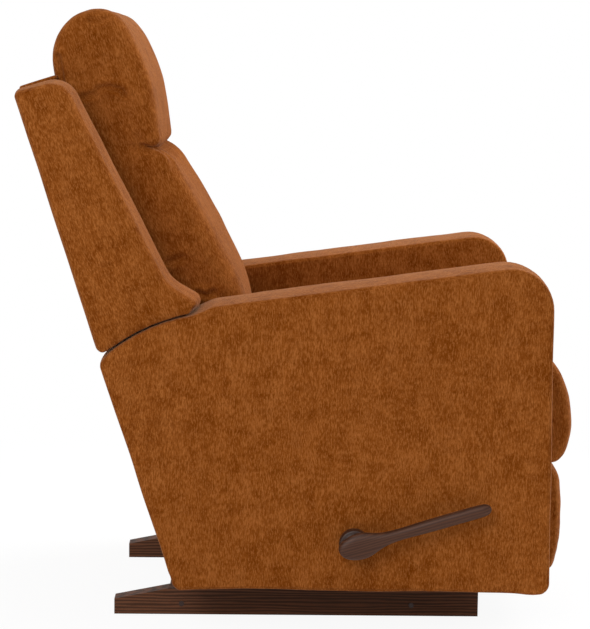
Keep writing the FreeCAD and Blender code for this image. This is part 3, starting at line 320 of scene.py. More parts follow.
def check_group():
    """Woven strap or moulded grain: a fine check of over and under."""
    group, t, given = effect_group(
        "Fine check",
        [("Vector", "NodeSocketVector", None), ("Base", "NodeSocketColor", (0.1, 0.1, 0.1, 1)),
         ("Under", "NodeSocketColor", (0.03, 0.03, 0.03, 1)), ("Scale", "NodeSocketFloat", 900.0),
         ("Roughness", "NodeSocketFloat", 0.7)])
    check = t.add("ShaderNodeTexChecker", {"Vector": given["Vector"],
                                           "Scale": given["Scale"]}).outputs[1]
    grain = t.noise(given["Vector"], given["Scale"], 2.0)
    share = t.math("ADD", t.math("MULTIPLY", check, 0.6), t.math("MULTIPLY", grain, 0.4))
    color = t.mix(share, given["Under"], given["Base"])
    rough = t.math("ADD", given["Roughness"], t.math("MULTIPLY", grain, 0.15))
    t.add("NodeGroupOutput", {"Color": color, "Roughness": rough, "Height": share})
    return group


GROUPS = {"chenille": chenille_group(), "wood": wood_group(), "metal": metal_group(),
          "check": check_group()}


def emptied(owner):
    """The tree helper of a material or a world, with no node left in its tree."""
    owner.use_nodes = True
    owner.node_tree.nodes.clear()
    return Tree(owner.node_tree)


def finish_material(name, effect, values, turn=(0.0, 0.0, 0.0), bump=(0.5, 0.001), **plain):
    """A material that takes its pattern from one of the groups. turn follows a leaned piece, bump
    is the relief's strength and distance, and plain holds values of the shader itself."""
    material = bpy.data.materials.new(name)
    t = emptied(material)
    where = t.add("ShaderNodeTexCoord").outputs
    turned = t.add("ShaderNodeMapping", {"Vector": where["Object"], "Rotation": turn}).outputs[0]
    given = dict(values, Vector=turned)
    if effect == "chenille":
        given["Facing"] = where["Normal"]
    pattern = t.add("ShaderNodeGroup", given, node_tree=GROUPS[effect]).outputs
    relief = t.add("ShaderNodeBump", {"Strength": bump[0], "Distance": bump[1],
                                      "Height": pattern["Height"]}).outputs[0]
    shader = t.add("ShaderNodeBsdfPrincipled", {
        "Base Color": pattern["Color"], "Roughness": pattern["Roughness"], "Normal": relief})
    for key, value in plain.items():
        shader.inputs[key.replace("_", " ")].default_value = value
    t.add("ShaderNodeOutputMaterial", {0: shader.outputs[0]})
    return material


# Finishes of the chair

YARN = {"Yarn": (0.218, 0.061, 0.0095, 1), "Shade": (0.122, 0.025, 0.0009, 1),
        "Pale": (0.39, 0.140, 0.036, 1)}
SHEEN = {"Sheen_Weight": 0.22, "Sheen_Tint": (1.0, 0.68, 0.46, 1), "Sheen_Roughness": 0.35,
         "Specular_IOR_Level": 0.0}
upright_chenille = finish_material("chenille_upright", "chenille", YARN, bump=(0.55, 0.0016), **SHEEN)
leaned_chenille = finish_material("chenille_leaned", "chenille", YARN, turn=(LEAN, 0, 0),
                                  bump=(0.55, 0.0016), **SHEEN)
WALNUT = {"Dark": (0.043, 0.0178, 0.0085, 1), "Light": (0.138, 0.053, 0.025, 1),
          "Roughness": 0.5}
rail_walnut = finish_material("walnut_rail", "wood", dict(WALNUT, **{"Grain scale": 55.0}),
                              bump=(0.35, 0.0006), Specular_IOR_Level=0.12)
LEVER_RISE = math.radians(16.7)
lever_walnut = finish_material(
    "walnut_lever", "wood",
    {"Dark": (0.040, 0.0145, 0.0070, 1), "Light": (0.074, 0.027, 0.0125, 1), "Grain scale": 70.0,
     "Roughness": 0.36},
    turn=(LEVER_RISE, 0, 0), bump=(0.12, 0.0004), Specular_IOR_Level=0.2)
frame_wood = finish_material(
    "plywood_frame", "wood",
    {"Dark": (0.33, 0.22, 0.12, 1), "Light": (0.55, 0.40, 0.24, 1), "Grain scale": 80.0,
     "Roughness": 0.6}, bump=(0.3, 0.0005))
zinc = finish_material("zinc_plated_steel", "metal",
                       {"Base": (0.55, 0.55, 0.53, 1), "Mark": (0.34, 0.34, 0.33, 1),
                        "Roughness": 0.3}, bump=(0.08, 0.0002), Metallic=1.0)
black_steel = finish_material("black_enamel_steel", "metal",
                              {"Base": (0.022, 0.022, 0.023, 1), "Mark": (0.045, 0.043, 0.04, 1),
                               "Roughness": 0.38}, bump=(0.1, 0.0002))
webbing = finish_material("woven_webbing", "check",
                          {"Base": (0.42, 0.36, 0.26, 1), "Under": (0.2, 0.16, 0.1, 1),
                           "Scale": 700.0, "Roughness": 0.75}, bump=(0.6, 0.0005))
hub_brown = finish_material("moulded_hub_brown", "check",
                            {"Base": (0.036, 0.014, 0.008, 1), "Under": (0.026, 0.010, 0.006, 1),
                             "Scale": 1100.0, "Roughness": 0.3}, bump=(0.12, 0.0002),
                            Specular_IOR_Level=0.3)
dark_plastic = finish_material("moulded_plastic_dark", "check",
                               {"Base": (0.05, 0.028, 0.018, 1), "Under": (0.042, 0.024, 0.015, 1),
                                "Scale": 1100.0, "Roughness": 0.4}, bump=(0.15, 0.0002))
bush_plastic = finish_material("moulded_plastic_bush", "check",
                               {"Base": (0.62, 0.60, 0.55, 1), "Under": (0.5, 0.48, 0.44, 1),
                                "Scale": 1100.0, "Roughness": 0.4}, bump=(0.1, 0.0002))
lining = finish_material("lining_cloth", "check",
                         {"Base": (0.028, 0.027, 0.026, 1), "Under": (0.012, 0.012, 0.012, 1),
                          "Scale": 800.0, "Roughness": 0.85}, bump=(0.5, 0.0004))

SLOT_MATERIALS = {
    "dark_wood": rail_walnut, "frame_wood": frame_wood, "upholstery": upright_chenille,
    "webbing": webbing, "bush_plastic": bush_plastic, "dark_plastic": dark_plastic,
    "zinc_steel": zinc, "black_steel": black_steel,
}
# Nodes that show beside the padding, in darker finishes than their slots have
NODE_MATERIALS = {"base_screws": hub_brown, "footrest_board": lining}
NODE_MATERIALS.update({f"{part}_{word}": black_steel
                       for part in ("back_bracket", "side_plate") for word in SIDES})


def dress_nodes():
    """Every CAD node that stays gets its own finish or that of its material slot."""
    for entry in frame["record"]["subparts"]:
        mesh = frame["nodes"][entry["node"]].data
        finish = NODE_MATERIALS.get(entry["node"], SLOT_MATERIALS[entry["material_slot"]])
        mesh.materials.clear()
        mesh.materials.append(finish)


# Padded panels over a board: a side face, a band round the outline and the other side face

# A rounded corner turns by this much at most from one place to the next, in radians
TURN_STEP = 0.14


def rounded_outline(corners, longest=0.011):
    """A closed outline as places with outward normals; each corner is (a, b, radius)."""
    flat = np.array([(a, b) for a, b, _ in corners], float)
    turn = np.sum(flat[:, 0] * np.roll(flat[:, 1], -1) - np.roll(flat[:, 0], -1) * flat[:, 1])
    if turn < 0:
        corners = corners[::-1]
    count = len(corners)
    arcs = []
    for i, (a, b, radius) in enumerate(corners):
        here = np.array((a, b))
        back = np.array(corners[i - 1][:2]) - here
        onward = np.array(corners[(i + 1) % count][:2]) - here
        back, onward = back / np.linalg.norm(back), onward / np.linalg.norm(onward)
        half = math.acos(max(-1.0, min(1.0, float(back @ onward)))) / 2
        reach = radius / math.tan(half)
        bisector = (back + onward) / np.linalg.norm(back + onward)
        centre = here + bisector * radius / math.sin(half)
        outward = 1 if back[0] * onward[1] - back[1] * onward[0] < 0 else -1
        first = here + back * reach - centre
        sweep = math.pi - 2 * half
        steps = max(2, math.ceil(sweep / TURN_STEP), math.ceil(sweep * radius / longest))
        start = math.atan2(first[1], first[0])
        arc = []
        for k in range(steps + 1):
            angle = start + outward * sweep * k / steps
            ray = np.array((math.cos(angle), math.sin(angle)))
            arc.append((centre + ray * radius, ray * outward))
        arcs.append(arc)
    points, normals = [], []
    for i, arc in enumerate(arcs):
        for place, normal in arc:
            points.append(place)
            normals.append(normal)
        end, start = arc[-1][0], arcs[(i + 1) % count][0][0]
        run = np.linalg.norm(start - end)
        steps = math.ceil(run / longest)
        for k in range(1, steps):
            points.append(end + (start - end) * k / steps)
            normals.append(arc[-1][1])
    return np.array(points), np.array(normals)


def edge_distance(ring, place):
    """How far a place is from the nearest edge of a ring of places."""
    along = np.roll(ring, -1, 0) - ring
    share = np.clip(((place - ring) * along).sum(1) / (along ** 2).sum(1), 0, 1)
    return np.linalg.norm(ring + along * share[:, None] - place, axis=1).min()


def face_fill(ring, spacing):
    """Triangles that fill a ring of places, with staggered rows of more places inside it."""
    row_height, clear = spacing * 0.87, spacing * 0.6
    low, high = ring.min(0), ring.max(0)
    nexts = np.roll(ring, -1, 0)
    along = nexts - ring
    climb = np.where(along[:, 1] == 0, 1, along[:, 1])
    inner = []
    row = 0
    b = low[1] + spacing
    while b < high[1]:
        a = low[0] + spacing * (0.75 if row % 2 else 0.25)
        while a < high[0]:
            before = a < ring[:, 0] + (b - ring[:, 1]) * along[:, 0] / climb
            crosses = ((ring[:, 1] > b) != (nexts[:, 1] > b)) & before
            if crosses.sum() % 2 and edge_distance(ring, np.array((a, b))) > clear:
                inner.append((a, b))
            a += spacing
        b += row_height
        row += 1
    points = [Vector(p) for p in ring] + [Vector(p) for p in inner]
    edges = [(i, (i + 1) % len(ring)) for i in range(len(ring))]
    _, _, faces, sources, _, _ = delaunay_2d_cdt(points, edges, [], 1, 1e-7)
    if min(map(len, sources)) == 0:
        raise RuntimeError("a padded panel's outline crosses itself where it is drawn in")
    order = [source[0] for source in sources]
    return np.array(inner).reshape(-1, 2), [[order[i] for i in face] for face in faces]


# The rounded edge has this many steps, and its seam lies at this step and is this many wide
EDGE_STEPS, SEAM_STEP, SEAM_WIDTH = 9, 2.6, 0.75
# Between the edges, rows stand this far apart. A face puffs out fully this far from its edge.
BAND_STEP, PUFF_REACH = 0.012, 0.045
# How far from the parting arc the rounding is tighter, and by what share
PARTING_REACH, PARTING_SHARE = 0.008, 0.62


def band_rows(low, high, edge, crown, welt):
    """The band's rows from one face to the other: the place across and how far it is drawn in."""
    inset, deep = edge
    rows = []
    for k in range(EDGE_STEPS + 1):
        angle = math.pi / 2 * k / EDGE_STEPS
        groove = welt * math.exp(-((k - SEAM_STEP) / SEAM_WIDTH) ** 2)
        rows.append((deep * (1 - math.cos(angle)) + groove * 0.7,
                     inset * (1 - math.sin(angle)) + groove))
    flat = high - low - 2 * deep
    middle = max(2, math.ceil(flat / BAND_STEP))
    band = [(low + across, draw) for across, draw in rows]
    for k in range(1, middle):
        share = k / middle
        band.append((low + deep + flat * share, -crown * (1 - (2 * share - 1) ** 2)))
    return band + [(high - across, draw) for across, draw in reversed(rows)]


def padded_panel(name, corners, span, at, edge, crown=0.003, puff=0.003, welt=0.0009,
                 spacing=0.014, parting=None):
    """A board with padding: rounded at both faces' edges, with a seam where the band starts.
    span is the low and high value across, edge is (how far in, how deep) the rounding goes, and
    along the parting arc, given by its radius from the recline pivot, it goes in less."""
    points, normals = rounded_outline(corners)
    tight = np.ones(len(points))
    if parting:
        off = np.hypot(points[:, 0] - PIVOT_Y, points[:, 1] - PIVOT_Z) - parting
        tight -= PARTING_SHARE * np.clip(1.4 - np.abs(off) / PARTING_REACH, 0, 1)
    low, high = span
    band = band_rows(low, high, edge, crown, welt)
    verts = []
    for across, draw in band:
        for (a, b), (na, nb), share in zip(points, normals, tight):
            verts.append(at(across, a - na * draw * share, b - nb * draw * share))
    count = len(points)
    faces = ring_faces(len(band), count)
    for across, row in ((low, 0), (high, len(band) - 1)):
        ring = points - normals * (band[row][1] * tight)[:, None]
        inner, triangles = face_fill(ring, spacing)
        start = len(verts)
        for p in inner:
            rise = puff * (1 - math.exp(-edge_distance(ring, p) / PUFF_REACH))
            verts.append(at(across + (rise if row else -rise), *p))
        for triangle in triangles:
            faces.append([row * count + i if i < count else start + i - count for i in triangle])
    return closed_piece(name, verts, faces)


def slacken(piece, amount, seed, size=0.09):
    """Gives cloth its slow, uneven hang over the padding, in wide waves with small ones on them."""
    small_share = 0.35
    co = places_of(piece.data)
    wide = soft_noise(co, size, seed)
    small = soft_noise(co * np.array((1.0, 1.0, 0.6)), size * small_share, seed + 5)
    push(piece.data, amount * (wide + small_share * small))


def pucker(piece, spots):
    """Short creases that run out from places where the cloth is gathered. Each spot is a centre,
    its reach and depth, the number of creases and the angle of the first one."""
    co = places_of(piece.data)
    amounts = np.zeros(len(co))
    for centre, reach, depth, creases, turn in spots:
        away = co - np.array(centre)
        far = np.linalg.norm(away, axis=1)
        angle = np.arctan2(away[:, 2], away[:, 1])
        waves = np.cos(creases * (angle - turn)) * np.minimum(1, far / (reach * 0.3))
        amounts += depth * bump_of(far, reach) * (waves - 0.6)
    push(piece.data, amounts)


# The arc between arm and wing goes round the recline pivot. The arm ends and the wing starts at
# these radii. Inner and outer faces are measured from the chair's middle.
ARM_ARC, WING_ARC = 0.351, 0.3526
ARM_INNER, ARM_OUTER = 0.250, 0.395
WING_INNER, WING_OUTER = 0.249, 0.385
# The arms' hem sags below this height, and most at its front corner
HEM_TOP, HEM_CORNER = 0.125, -0.392


def arc_corners(radius, front, rear):
    """Corners on the parting arc, from front to rear."""
    corners = []
    steps = 6
    for k in range(steps + 1):
        y = front + (rear - front) * k / steps
        corners.append((y, PIVOT_Z + math.sqrt(radius ** 2 - (y - PIVOT_Y) ** 2), 0.08))
    return corners


def arm_outline():
    """The arm from the side, with its straight top and the arc that parts it from the back."""
    top, top_fall = 0.640, 0.078 / 0.570
    return [(-0.4215, 0.084, 0.016), (-0.4165, top, 0.070), (0.145, top - top_fall * 0.565, 0.05),
            *arc_corners(ARM_ARC, 0.178, 0.322), (0.334, 0.462, 0.013), (0.208, 0.084, 0.013)]


def upright_at(x, y, z):
    """A place of a piece that doesn't lean."""
    return (x, y, z)


def make_arms():
    """The two arms: a padded board each, with a slack hem and a few puckers."""
    for word, side in SIDES.items():
        outer = MIDDLE + side * ARM_OUTER
        across = sorted((MIDDLE + side * ARM_INNER, outer))
        arm = padded_panel(f"arm_cover_{word}", arm_outline(), across, upright_at,
                           edge=(0.0078, 0.011), crown=0.003, puff=0.0022, parting=ARM_ARC)
        slacken(arm, 0.0011, 3 + side)
        hem_sag(arm)
        pucker(arm, [((outer, 0.150, 0.545), 0.035, 0.0012, 5, 0.4),
                     ((outer, 0.205, 0.100), 0.030, 0.0010, 4, 1.0)])
        finish_piece(arm, "chair_frame", upright_chenille, [f"arm_{word}"])


def hem_sag(piece):
    """The lower edge hangs a little unevenly, lowest at its front corner."""
    co = places_of(piece.data)
    low = np.clip((HEM_TOP - co[:, 2]) / 0.04, 0, 1)
    wave = 0.0011 * np.sin(co[:, 1] * 21.0) + 0.0012 * np.sin(co[:, 1] * 9.0 + 1.0)
    corner = 0.0035 * bump_of(co[:, 1] - HEM_CORNER, 0.025)
    co[:, 2] += low * (wave - corner)
    set_places(piece.data, co)


def wing_outline():
    """The wing from the side: the parting arc below, its front tip and its rounded top."""
    corners = arc_corners(WING_ARC, 0.186, 0.311)
    corners[0] = corners[0][:2] + (0.012,)
    return corners + [(0.337, 0.475, 0.012), (0.478, 0.910, 0.011), (0.394, 0.933, 0.038),
                      (0.222, 0.597, 0.060), (0.165, 0.565, 0.011)]


def make_wings():
    """The back's two wings, which stand outside the cushion."""
    for word, side in SIDES.items():
        outer = MIDDLE + side * WING_OUTER
        across = sorted((MIDDLE + side * WING_INNER, outer))
        wing = padded_panel(f"wing_cover_{word}", wing_outline(), across, upright_at,
                            edge=(0.0078, 0.024), crown=0.004, puff=0.003, parting=WING_ARC)
        slacken(wing, 0.0012, 11 + side)
        pucker(wing, [((outer, 0.185, 0.563), 0.022, 0.0022, 3, 0.8),
                      ((outer, 0.400, 0.905), 0.028, 0.0010, 4, 0.2)])
        finish_piece(wing, "back", leaned_chenille, [f"wing_{word}"])


def rectangle(low, high, low_radius, high_radius):
    """Corners of a board, with one radius for its lower two and one for its upper two."""
    return [(low[0], low[1], low_radius), (high[0], low[1], low_radius),
            (high[0], high[1], high_radius), (low[0], high[1], high_radius)]


def behind_at(n, a, t):
    """A place of a board that stands behind the back: behind, aside and up."""
    return leaned(MIDDLE + a, n, t)


def on_top_at(t, n, a):
    """A place of a board that lies on the back's top rail: up, behind and aside."""
    return leaned(MIDDLE + a, n, t)


def make_rear_covers():
    """The covered panel of the back, the cover on its top rail and the skirt below it."""
    half = 0.2495
    panel = padded_panel("outside_back_cover",
                         rectangle((-half, 0.080), (half, 0.789), 0.009, 0.014),
                         (0.1226, 0.1326), behind_at,
                         edge=(0.008, 0.0045), crown=0.0, puff=0.004, welt=0.0004)
    slacken(panel, 0.0010, 21)
    finish_piece(panel, "back", leaned_chenille, ["back_panel"])
    top = padded_panel("back_top_cover",
                       rectangle((0.066, -half), (0.1336, half), 0.010, 0.010),
                       (0.7863, 0.7945), on_top_at,
                       edge=(0.004, 0.0038), crown=0.0, puff=0.0015, welt=0.0002)
    slacken(top, 0.0007, 25)
    finish_piece(top, "back", leaned_chenille)
    skirt = padded_panel("rear_skirt_cover",
                         rectangle((-half, -0.070), (half, 0.055), 0.007, 0.007),
                         (0.1246, 0.1326), behind_at,
                         edge=(0.006, 0.0038), crown=0.0, puff=0.002, welt=0.0003)
    slacken(skirt, 0.0007, 23)
    finish_piece(skirt, "chair_frame", leaned_chenille, ["rear_panel"])


# Cushions: smooth sections across the chair, filled with air pressure, then sewn and creased

# Places on each section, sections between the two rounded ends, and in a crisp part how much less
# the front is rounded and over what height that sets in
SECTION_PLACES, MIDDLE_SECTIONS = 200, 32
CRISP_SHARE, CRISP_RISE = 0.75, 0.03


def smooth_loop(points, count):
    """A closed, smooth curve through the points, as evenly spaced places with outward normals."""
    corners = np.array(points, float)
    fine = []
    for i in range(len(corners)):
        a, b, c, d = (corners[(i + k) % len(corners)] for k in (-1, 0, 1, 2))
        for t in np.linspace(0, 1, 24, endpoint=False):
            fine.append(0.5 * (2 * b + (c - a) * t + (2 * a - 5 * b + 4 * c - d) * t * t
                               + (3 * b - a - 3 * c + d) * t ** 3))
    fine = np.array(fine + fine[:1])
    run = np.concatenate([[0], np.cumsum(np.linalg.norm(np.diff(fine, axis=0), axis=1))])
    even = np.linspace(0, run[-1], count, endpoint=False)
    places = np.stack([np.interp(even, run, fine[:, k]) for k in (0, 1)], 1)
    along = np.roll(places, -1, 0) - np.roll(places, 1, 0)
    along /= np.linalg.norm(along, axis=1, keepdims=True)
    turn = np.sum(places[:, 0] * np.roll(places[:, 1], -1) - np.roll(places[:, 0], -1) * places[:, 1])
    normals = np.stack([along[:, 1], -along[:, 0]], 1) * (1 if turn > 0 else -1)
    return places, normals


# Distances from a cushion's end at which its sections stand, closer together where it rounds
END_STEPS = (0, 0.0008, 0.003, 0.006, 0.010, 0.015, 0.021, 0.028, 0.036, 0.045)


def sections(name, profile, half, at, crown=0.006, rounds=(0.018, 0.040), draw=0.0, crisp=None):
    """A closed cushion form. Its sides are rounded more at the front, where the normal's first
    part is negative, than behind; the crown pushes the front's middle out; draw makes it all smaller.
    Above the crisp height the front is rounded nearly as little as the rest."""
    points, normals = smooth_loop([(a / 1000, b / 1000) for a, b in profile], SECTION_PLACES)
    facing = np.clip(-normals[:, 0], 0, 1)
    soft = facing
    if crisp is not None:
        soft = facing * (1 - CRISP_SHARE * np.clip((points[:, 1] - crisp) / CRISP_RISE, 0, 1))
    reach = rounds[0] + (rounds[1] - rounds[0]) * soft
    inner = half - END_STEPS[-1]
    xs = [-half + d for d in END_STEPS] + list(np.linspace(-inner, inner, MIDDLE_SECTIONS + 2)[1:-1])
    xs += [half - d for d in reversed(END_STEPS)]
    verts = []
    for x in xs:
        near_end = np.clip(1 - (half - abs(x)) / reach, 0, 1)
        inset = reach * (1 - np.sqrt(1 - near_end ** 2))
        out = crown * (1 - (x / half) ** 2) * facing - inset - draw
        for a, b in points + normals * out[:, None]:
            verts.append(at(MIDDLE + x * (1 - draw / half), a, b))
    count = len(points)
    last = (len(xs) - 1) * count
    faces = ring_faces(len(xs), count) + [list(range(count)), list(range(last, last + count))]
    return closed_piece(name, verts, faces)


# The simulation's length, and how much larger than its drawn-in form the cover may grow
CLOTH_FRAMES, COVER_SLACK = 20, 0.03


def swollen(piece, held, voxel=0.006, draw=0.007, swell=0.003, share=0.5, pressure=4.0, cap=0.022):
    """Fills a drawn-in form with pressure. held gives how firmly each place is fixed, 0 to 1, and
    how firmly a seam holds it. share is how much of the shape the filling decides, and the form
    that was drawn in decides the rest. No place moves further than the cap."""
    remesh = piece.modifiers.new("even", "REMESH")
    remesh.mode, remesh.voxel_size = "VOXEL", voxel
    settle(piece)
    relax = piece.modifiers.new("relax", "SMOOTH")
    relax.factor, relax.iterations = 0.5, 3
    settle(piece)
    start = places_of(piece.data)
    fixed, sewn = held(start)
    hold = np.maximum(fixed, sewn)
    pins = piece.vertex_groups.new(name="held")
    for i, weight in enumerate(hold):
        if weight > 0.01:
            pins.add([i], float(weight), "REPLACE")
    cloth = piece.modifiers.new("cloth", "CLOTH")
    settings = cloth.settings
    settings.quality = 5
    settings.use_pressure = True
    settings.uniform_pressure_force = pressure
    settings.shrink_min = -COVER_SLACK
    settings.effector_weights.gravity = 0
    settings.vertex_group_mass = "held"
    cloth.point_cache.frame_start, cloth.point_cache.frame_end = 1, CLOTH_FRAMES
    scene = bpy.context.scene
    for number in range(1, CLOTH_FRAMES + 1):
        scene.frame_set(number)
    end = places_of(evaluated_mesh(piece))
    piece.modifiers.clear()
    scene.frame_set(1)
    moved = end - start
    far = np.linalg.norm(moved, axis=1, keepdims=True)
    moved *= min(1.0, (draw + swell) / float(np.percentile(far, 75)))
    far = np.linalg.norm(moved, axis=1, keepdims=True)
    moved *= cap * np.tanh(far / cap) / np.maximum(far, 1e-9)
    full = (draw * (1 - fixed))[:, None] * normals_of(piece.data)
    share = (share * (1 - sewn))[:, None]
    set_places(piece.data, start + full * (1 - share) + moved * share)
    piece.vertex_groups.clear()
    refined(piece)


def refined(piece):
    """Splits each face in four and rounds the mesh."""
    finer = piece.modifiers.new("finer", "SUBSURF")
    finer.levels = finer.render_levels = 1
    settle(piece)


def end_lines(co, half, width):
    """Near 1 on the two seams where the end panels join the band."""
    return bump_of(np.abs(co[:, 0] - MIDDLE) - half, width)


def sew_ends(piece, half, depth=0.0020, width=0.0024):
    """Draws the cover in along the two end seams."""
    co = places_of(piece.data)
    push(piece.data, -depth * end_lines(co, half, width))


def gather(piece, distance, reach, depth, wave, seed):
    """Small folds that stand across a seam and fade away from it."""
    co = places_of(piece.data)
    shift = soft_noise(co * np.array((1.0, 0.3, 0.3)), 0.06, seed) * 5
    folds = np.cos(2 * math.pi * co[:, 0] / wave + shift)
    push(piece.data, depth * bump_of(distance(co), reach) * (folds - 0.3))


# The cushions' outlines from the side, in millimetres: forward to rear and up. The back's is
# given behind and up along its lean.
SEAT_PROFILE = [(-449, 270), (-458, 275), (-469, 288), (-476, 310), (-480, 331), (-480, 353),
                (-478, 374), (-474, 395), (-466, 416), (-455, 438), (-438, 459), (-412, 474),
                (-370, 483), (-290, 487), (-190, 486), (-90, 484), (0, 483), (42, 481), (62, 467),
                (66, 435), (63, 394), (51, 369), (20, 366.6), (-100, 366.6), (-220, 366.6),
                (-340, 366.6), (-378, 366), (-391, 352), (-394, 320), (-398, 290), (-418, 272)]
FOOT_PROFILE = [(-449, 84), (-453, 94), (-458, 116), (-461, 138), (-462, 159), (-463, 181),
                (-463, 203), (-461, 224), (-459, 246), (-454, 258), (-444, 268), (-424, 272),
                (-406, 271), (-397, 262), (-396, 220), (-396, 170), (-396, 120), (-397, 90),
                (-406, 81), (-428, 80)]
BACK_PROFILE = [(-101, 259), (-117, 281), (-121, 316), (-121, 352), (-117, 384), (-112, 412),
                (-108, 436), (-105, 460), (-99.5, 485), (-95, 511), (-89, 538), (-81, 565),
                (-75, 585), (-70, 598), (-66, 608), (-65, 616), (-67, 629), (-70, 647), (-73, 668),
                (-76, 690), (-79, 712), (-81.8, 735), (-82, 757), (-81, 781), (-78, 808),
                (-73, 836), (-63, 862), (-43, 880), (-14, 885.5), (14, 881.5), (38, 868),
                (56, 848), (66, 827), (71, 803), (75, 770), (76, 720), (77, 665), (84, 630),
                (85.5, 560), (85.5, 470), (85.5, 380), (85, 300), (76, 272), (30, 262),
                (-60, 254)]
# Half of each cushion's width, and the places of its end seams before and after it is filled
SEAT_HALF, SEAT_HELD, SEAT_SEAM = 0.2455, 0.2405, 0.2425
FOOT_HALF, FOOT_HELD, FOOT_SEAM = 0.2425, 0.2375, 0.2390
BACK_HALF, BACK_HELD, BACK_SEAM = 0.2425, 0.2405, 0.2395
# Where the hold on the cushions starts, a few millimetres before what holds them: the seat's
# webbing, behind the rolled front, the footrest's board, and for the back the rails behind it
# and the seat at its foot
WEBBING_HOLD, ROLL_REAR = 0.372, -0.385
BOARD_HOLD = -0.402
RAIL_HOLD, FOOT_HOLD = 0.078, 0.290


def make_seat_cushion():
    """The seat's cushion, fixed where it lies on the webbing behind its rolled front."""
    def held(co):
        under = np.clip((WEBBING_HOLD - co[:, 2]) / 0.005, 0, 1) * (co[:, 1] > ROLL_REAR)
        return under, end_lines(co, SEAT_HELD, 0.006) * 0.8

    piece = sections("seat_pad", SEAT_PROFILE, SEAT_HALF, upright_at, crown=0.002,
                     rounds=(0.024, 0.030), draw=0.006)
    swollen(piece, held, voxel=0.0065, draw=0.006, swell=0.002)
    sew_ends(piece, SEAT_SEAM)
    slacken(piece, 0.0014, 31)
    finish_piece(piece, "seat", upright_chenille, ["seat_cushion"])


def make_footrest_pad():
    """The footrest's pad, fixed where it lies on its board."""
    def held(co):
        back = np.clip((co[:, 1] - BOARD_HOLD) / 0.004, 0, 1)
        return back, end_lines(co, FOOT_HELD, 0.006) * 0.8

    piece = sections("footrest_cushion", FOOT_PROFILE, FOOT_HALF, upright_at, crown=0.005,
                     rounds=(0.016, 0.022), draw=0.005)
    swollen(piece, held, voxel=0.006, draw=0.005, swell=0.002, cap=0.018)
    sew_ends(piece, FOOT_SEAM)
    slacken(piece, 0.0011, 37)
    finish_piece(piece, "footrest", upright_chenille, ["footrest_pad"])


# The tuck between head and lumbar padding, from the side: its inner end and its mouth, as places
# behind and up along the lean, then its length and the directions along and across it
TUCK_END, TUCK_MOUTH = np.array((-0.029, 0.641)), np.array((-0.072, 0.612))
TUCK_LENGTH = np.linalg.norm(TUCK_MOUTH - TUCK_END)
TUCK_ALONG = (TUCK_MOUTH - TUCK_END) / TUCK_LENGTH
TUCK_ACROSS = np.array((-TUCK_ALONG[1], TUCK_ALONG[0]))


def tuck_line(co):
    """How far along the tuck's line and how far across it each place is, seen from the side."""
    flat = np.stack(along_lean(co), 1) - TUCK_END
    return flat @ TUCK_ALONG / TUCK_LENGTH, flat @ TUCK_ACROSS


def tuck_distance(co):
    """How far each place is from the tuck's line, which runs out a little past its mouth."""
    share, across = tuck_line(co)
    past = np.maximum(0, -share) + np.maximum(0, share - 1.2)
    return np.hypot(across, past * TUCK_LENGTH)


def carve_tuck(piece, depth=0.0115, widths=(0.0090, 0.0055), side_depth=0.0140):
    """Draws the cover in along the tuck: inwards by depth across the front, and by side_depth in
    a narrow line on the two ends. widths are those above and below the line."""
    co = places_of(piece.data)
    facing = normals_of(piece.data)
    share, across = tuck_line(co)
    flat_facing = np.stack(lean_parts(facing[:, 1], facing[:, 2]), 1)
    front = np.clip(flat_facing @ TUCK_ALONG * 1.4, 0, 1) * (share > 0.3)
    ends = np.abs(facing[:, 0]) * np.clip(share * 2.5 + 0.2, 0, 1) * (share < 1.5)
    inward = depth * bump_of(across, np.where(across < 0, *widths)) * front
    pinch = across * bump_of(across, 0.012) * np.maximum(front * 0.35, ends * 0.7)
    flat = np.stack(along_lean(co), 1) - inward[:, None] * TUCK_ALONG
    flat -= pinch[:, None] * TUCK_ACROSS
    co[:, 0] -= np.sign(co[:, 0] - MIDDLE) * side_depth * bump_of(across, 0.0045) * ends
    _, co[:, 1], co[:, 2] = leaned(0, flat[:, 0], flat[:, 1])
    set_places(piece.data, co)


def fill_out_ends(piece):
    """The padding is fuller at the two ends, beside the tuck, and more so on the handle side."""
    co = places_of(piece.data)
    behind, up = along_lean(co)
    full_aside, full_up, reach = 0.190, 0.600, 0.075
    front = np.clip((-behind - 0.03) / 0.02, 0, 1)
    aside = co[:, 0] - MIDDLE
    near, far = bump_of(aside + full_aside, reach), bump_of(aside - full_aside, reach)
    push(piece.data, front * (0.0060 * near + 0.0025 * far) * bump_of(up - full_up, 0.042))


# Creases of the back cushion's two ends, as places behind and up, with their depth and width
END_CREASES = [
    ([(0.037, 0.745), (0.015, 0.743), (0.007, 0.750), (-0.010, 0.7485), (-0.029, 0.7375),
      (-0.033, 0.728)], 0.0046, 0.0042),
    ([(-0.0155, 0.866), (-0.028, 0.8585), (-0.046, 0.859)], 0.0038, 0.0036),
    ([(0.054, 0.822), (0.058, 0.800), (0.062, 0.775)], 0.0062, 0.0036),
    ([(-0.049, 0.366), (-0.0615, 0.3585), (-0.076, 0.3585)], 0.0046, 0.0042),
    ([(-0.016, 0.4335), (-0.042, 0.4325)], 0.0032, 0.0050)]


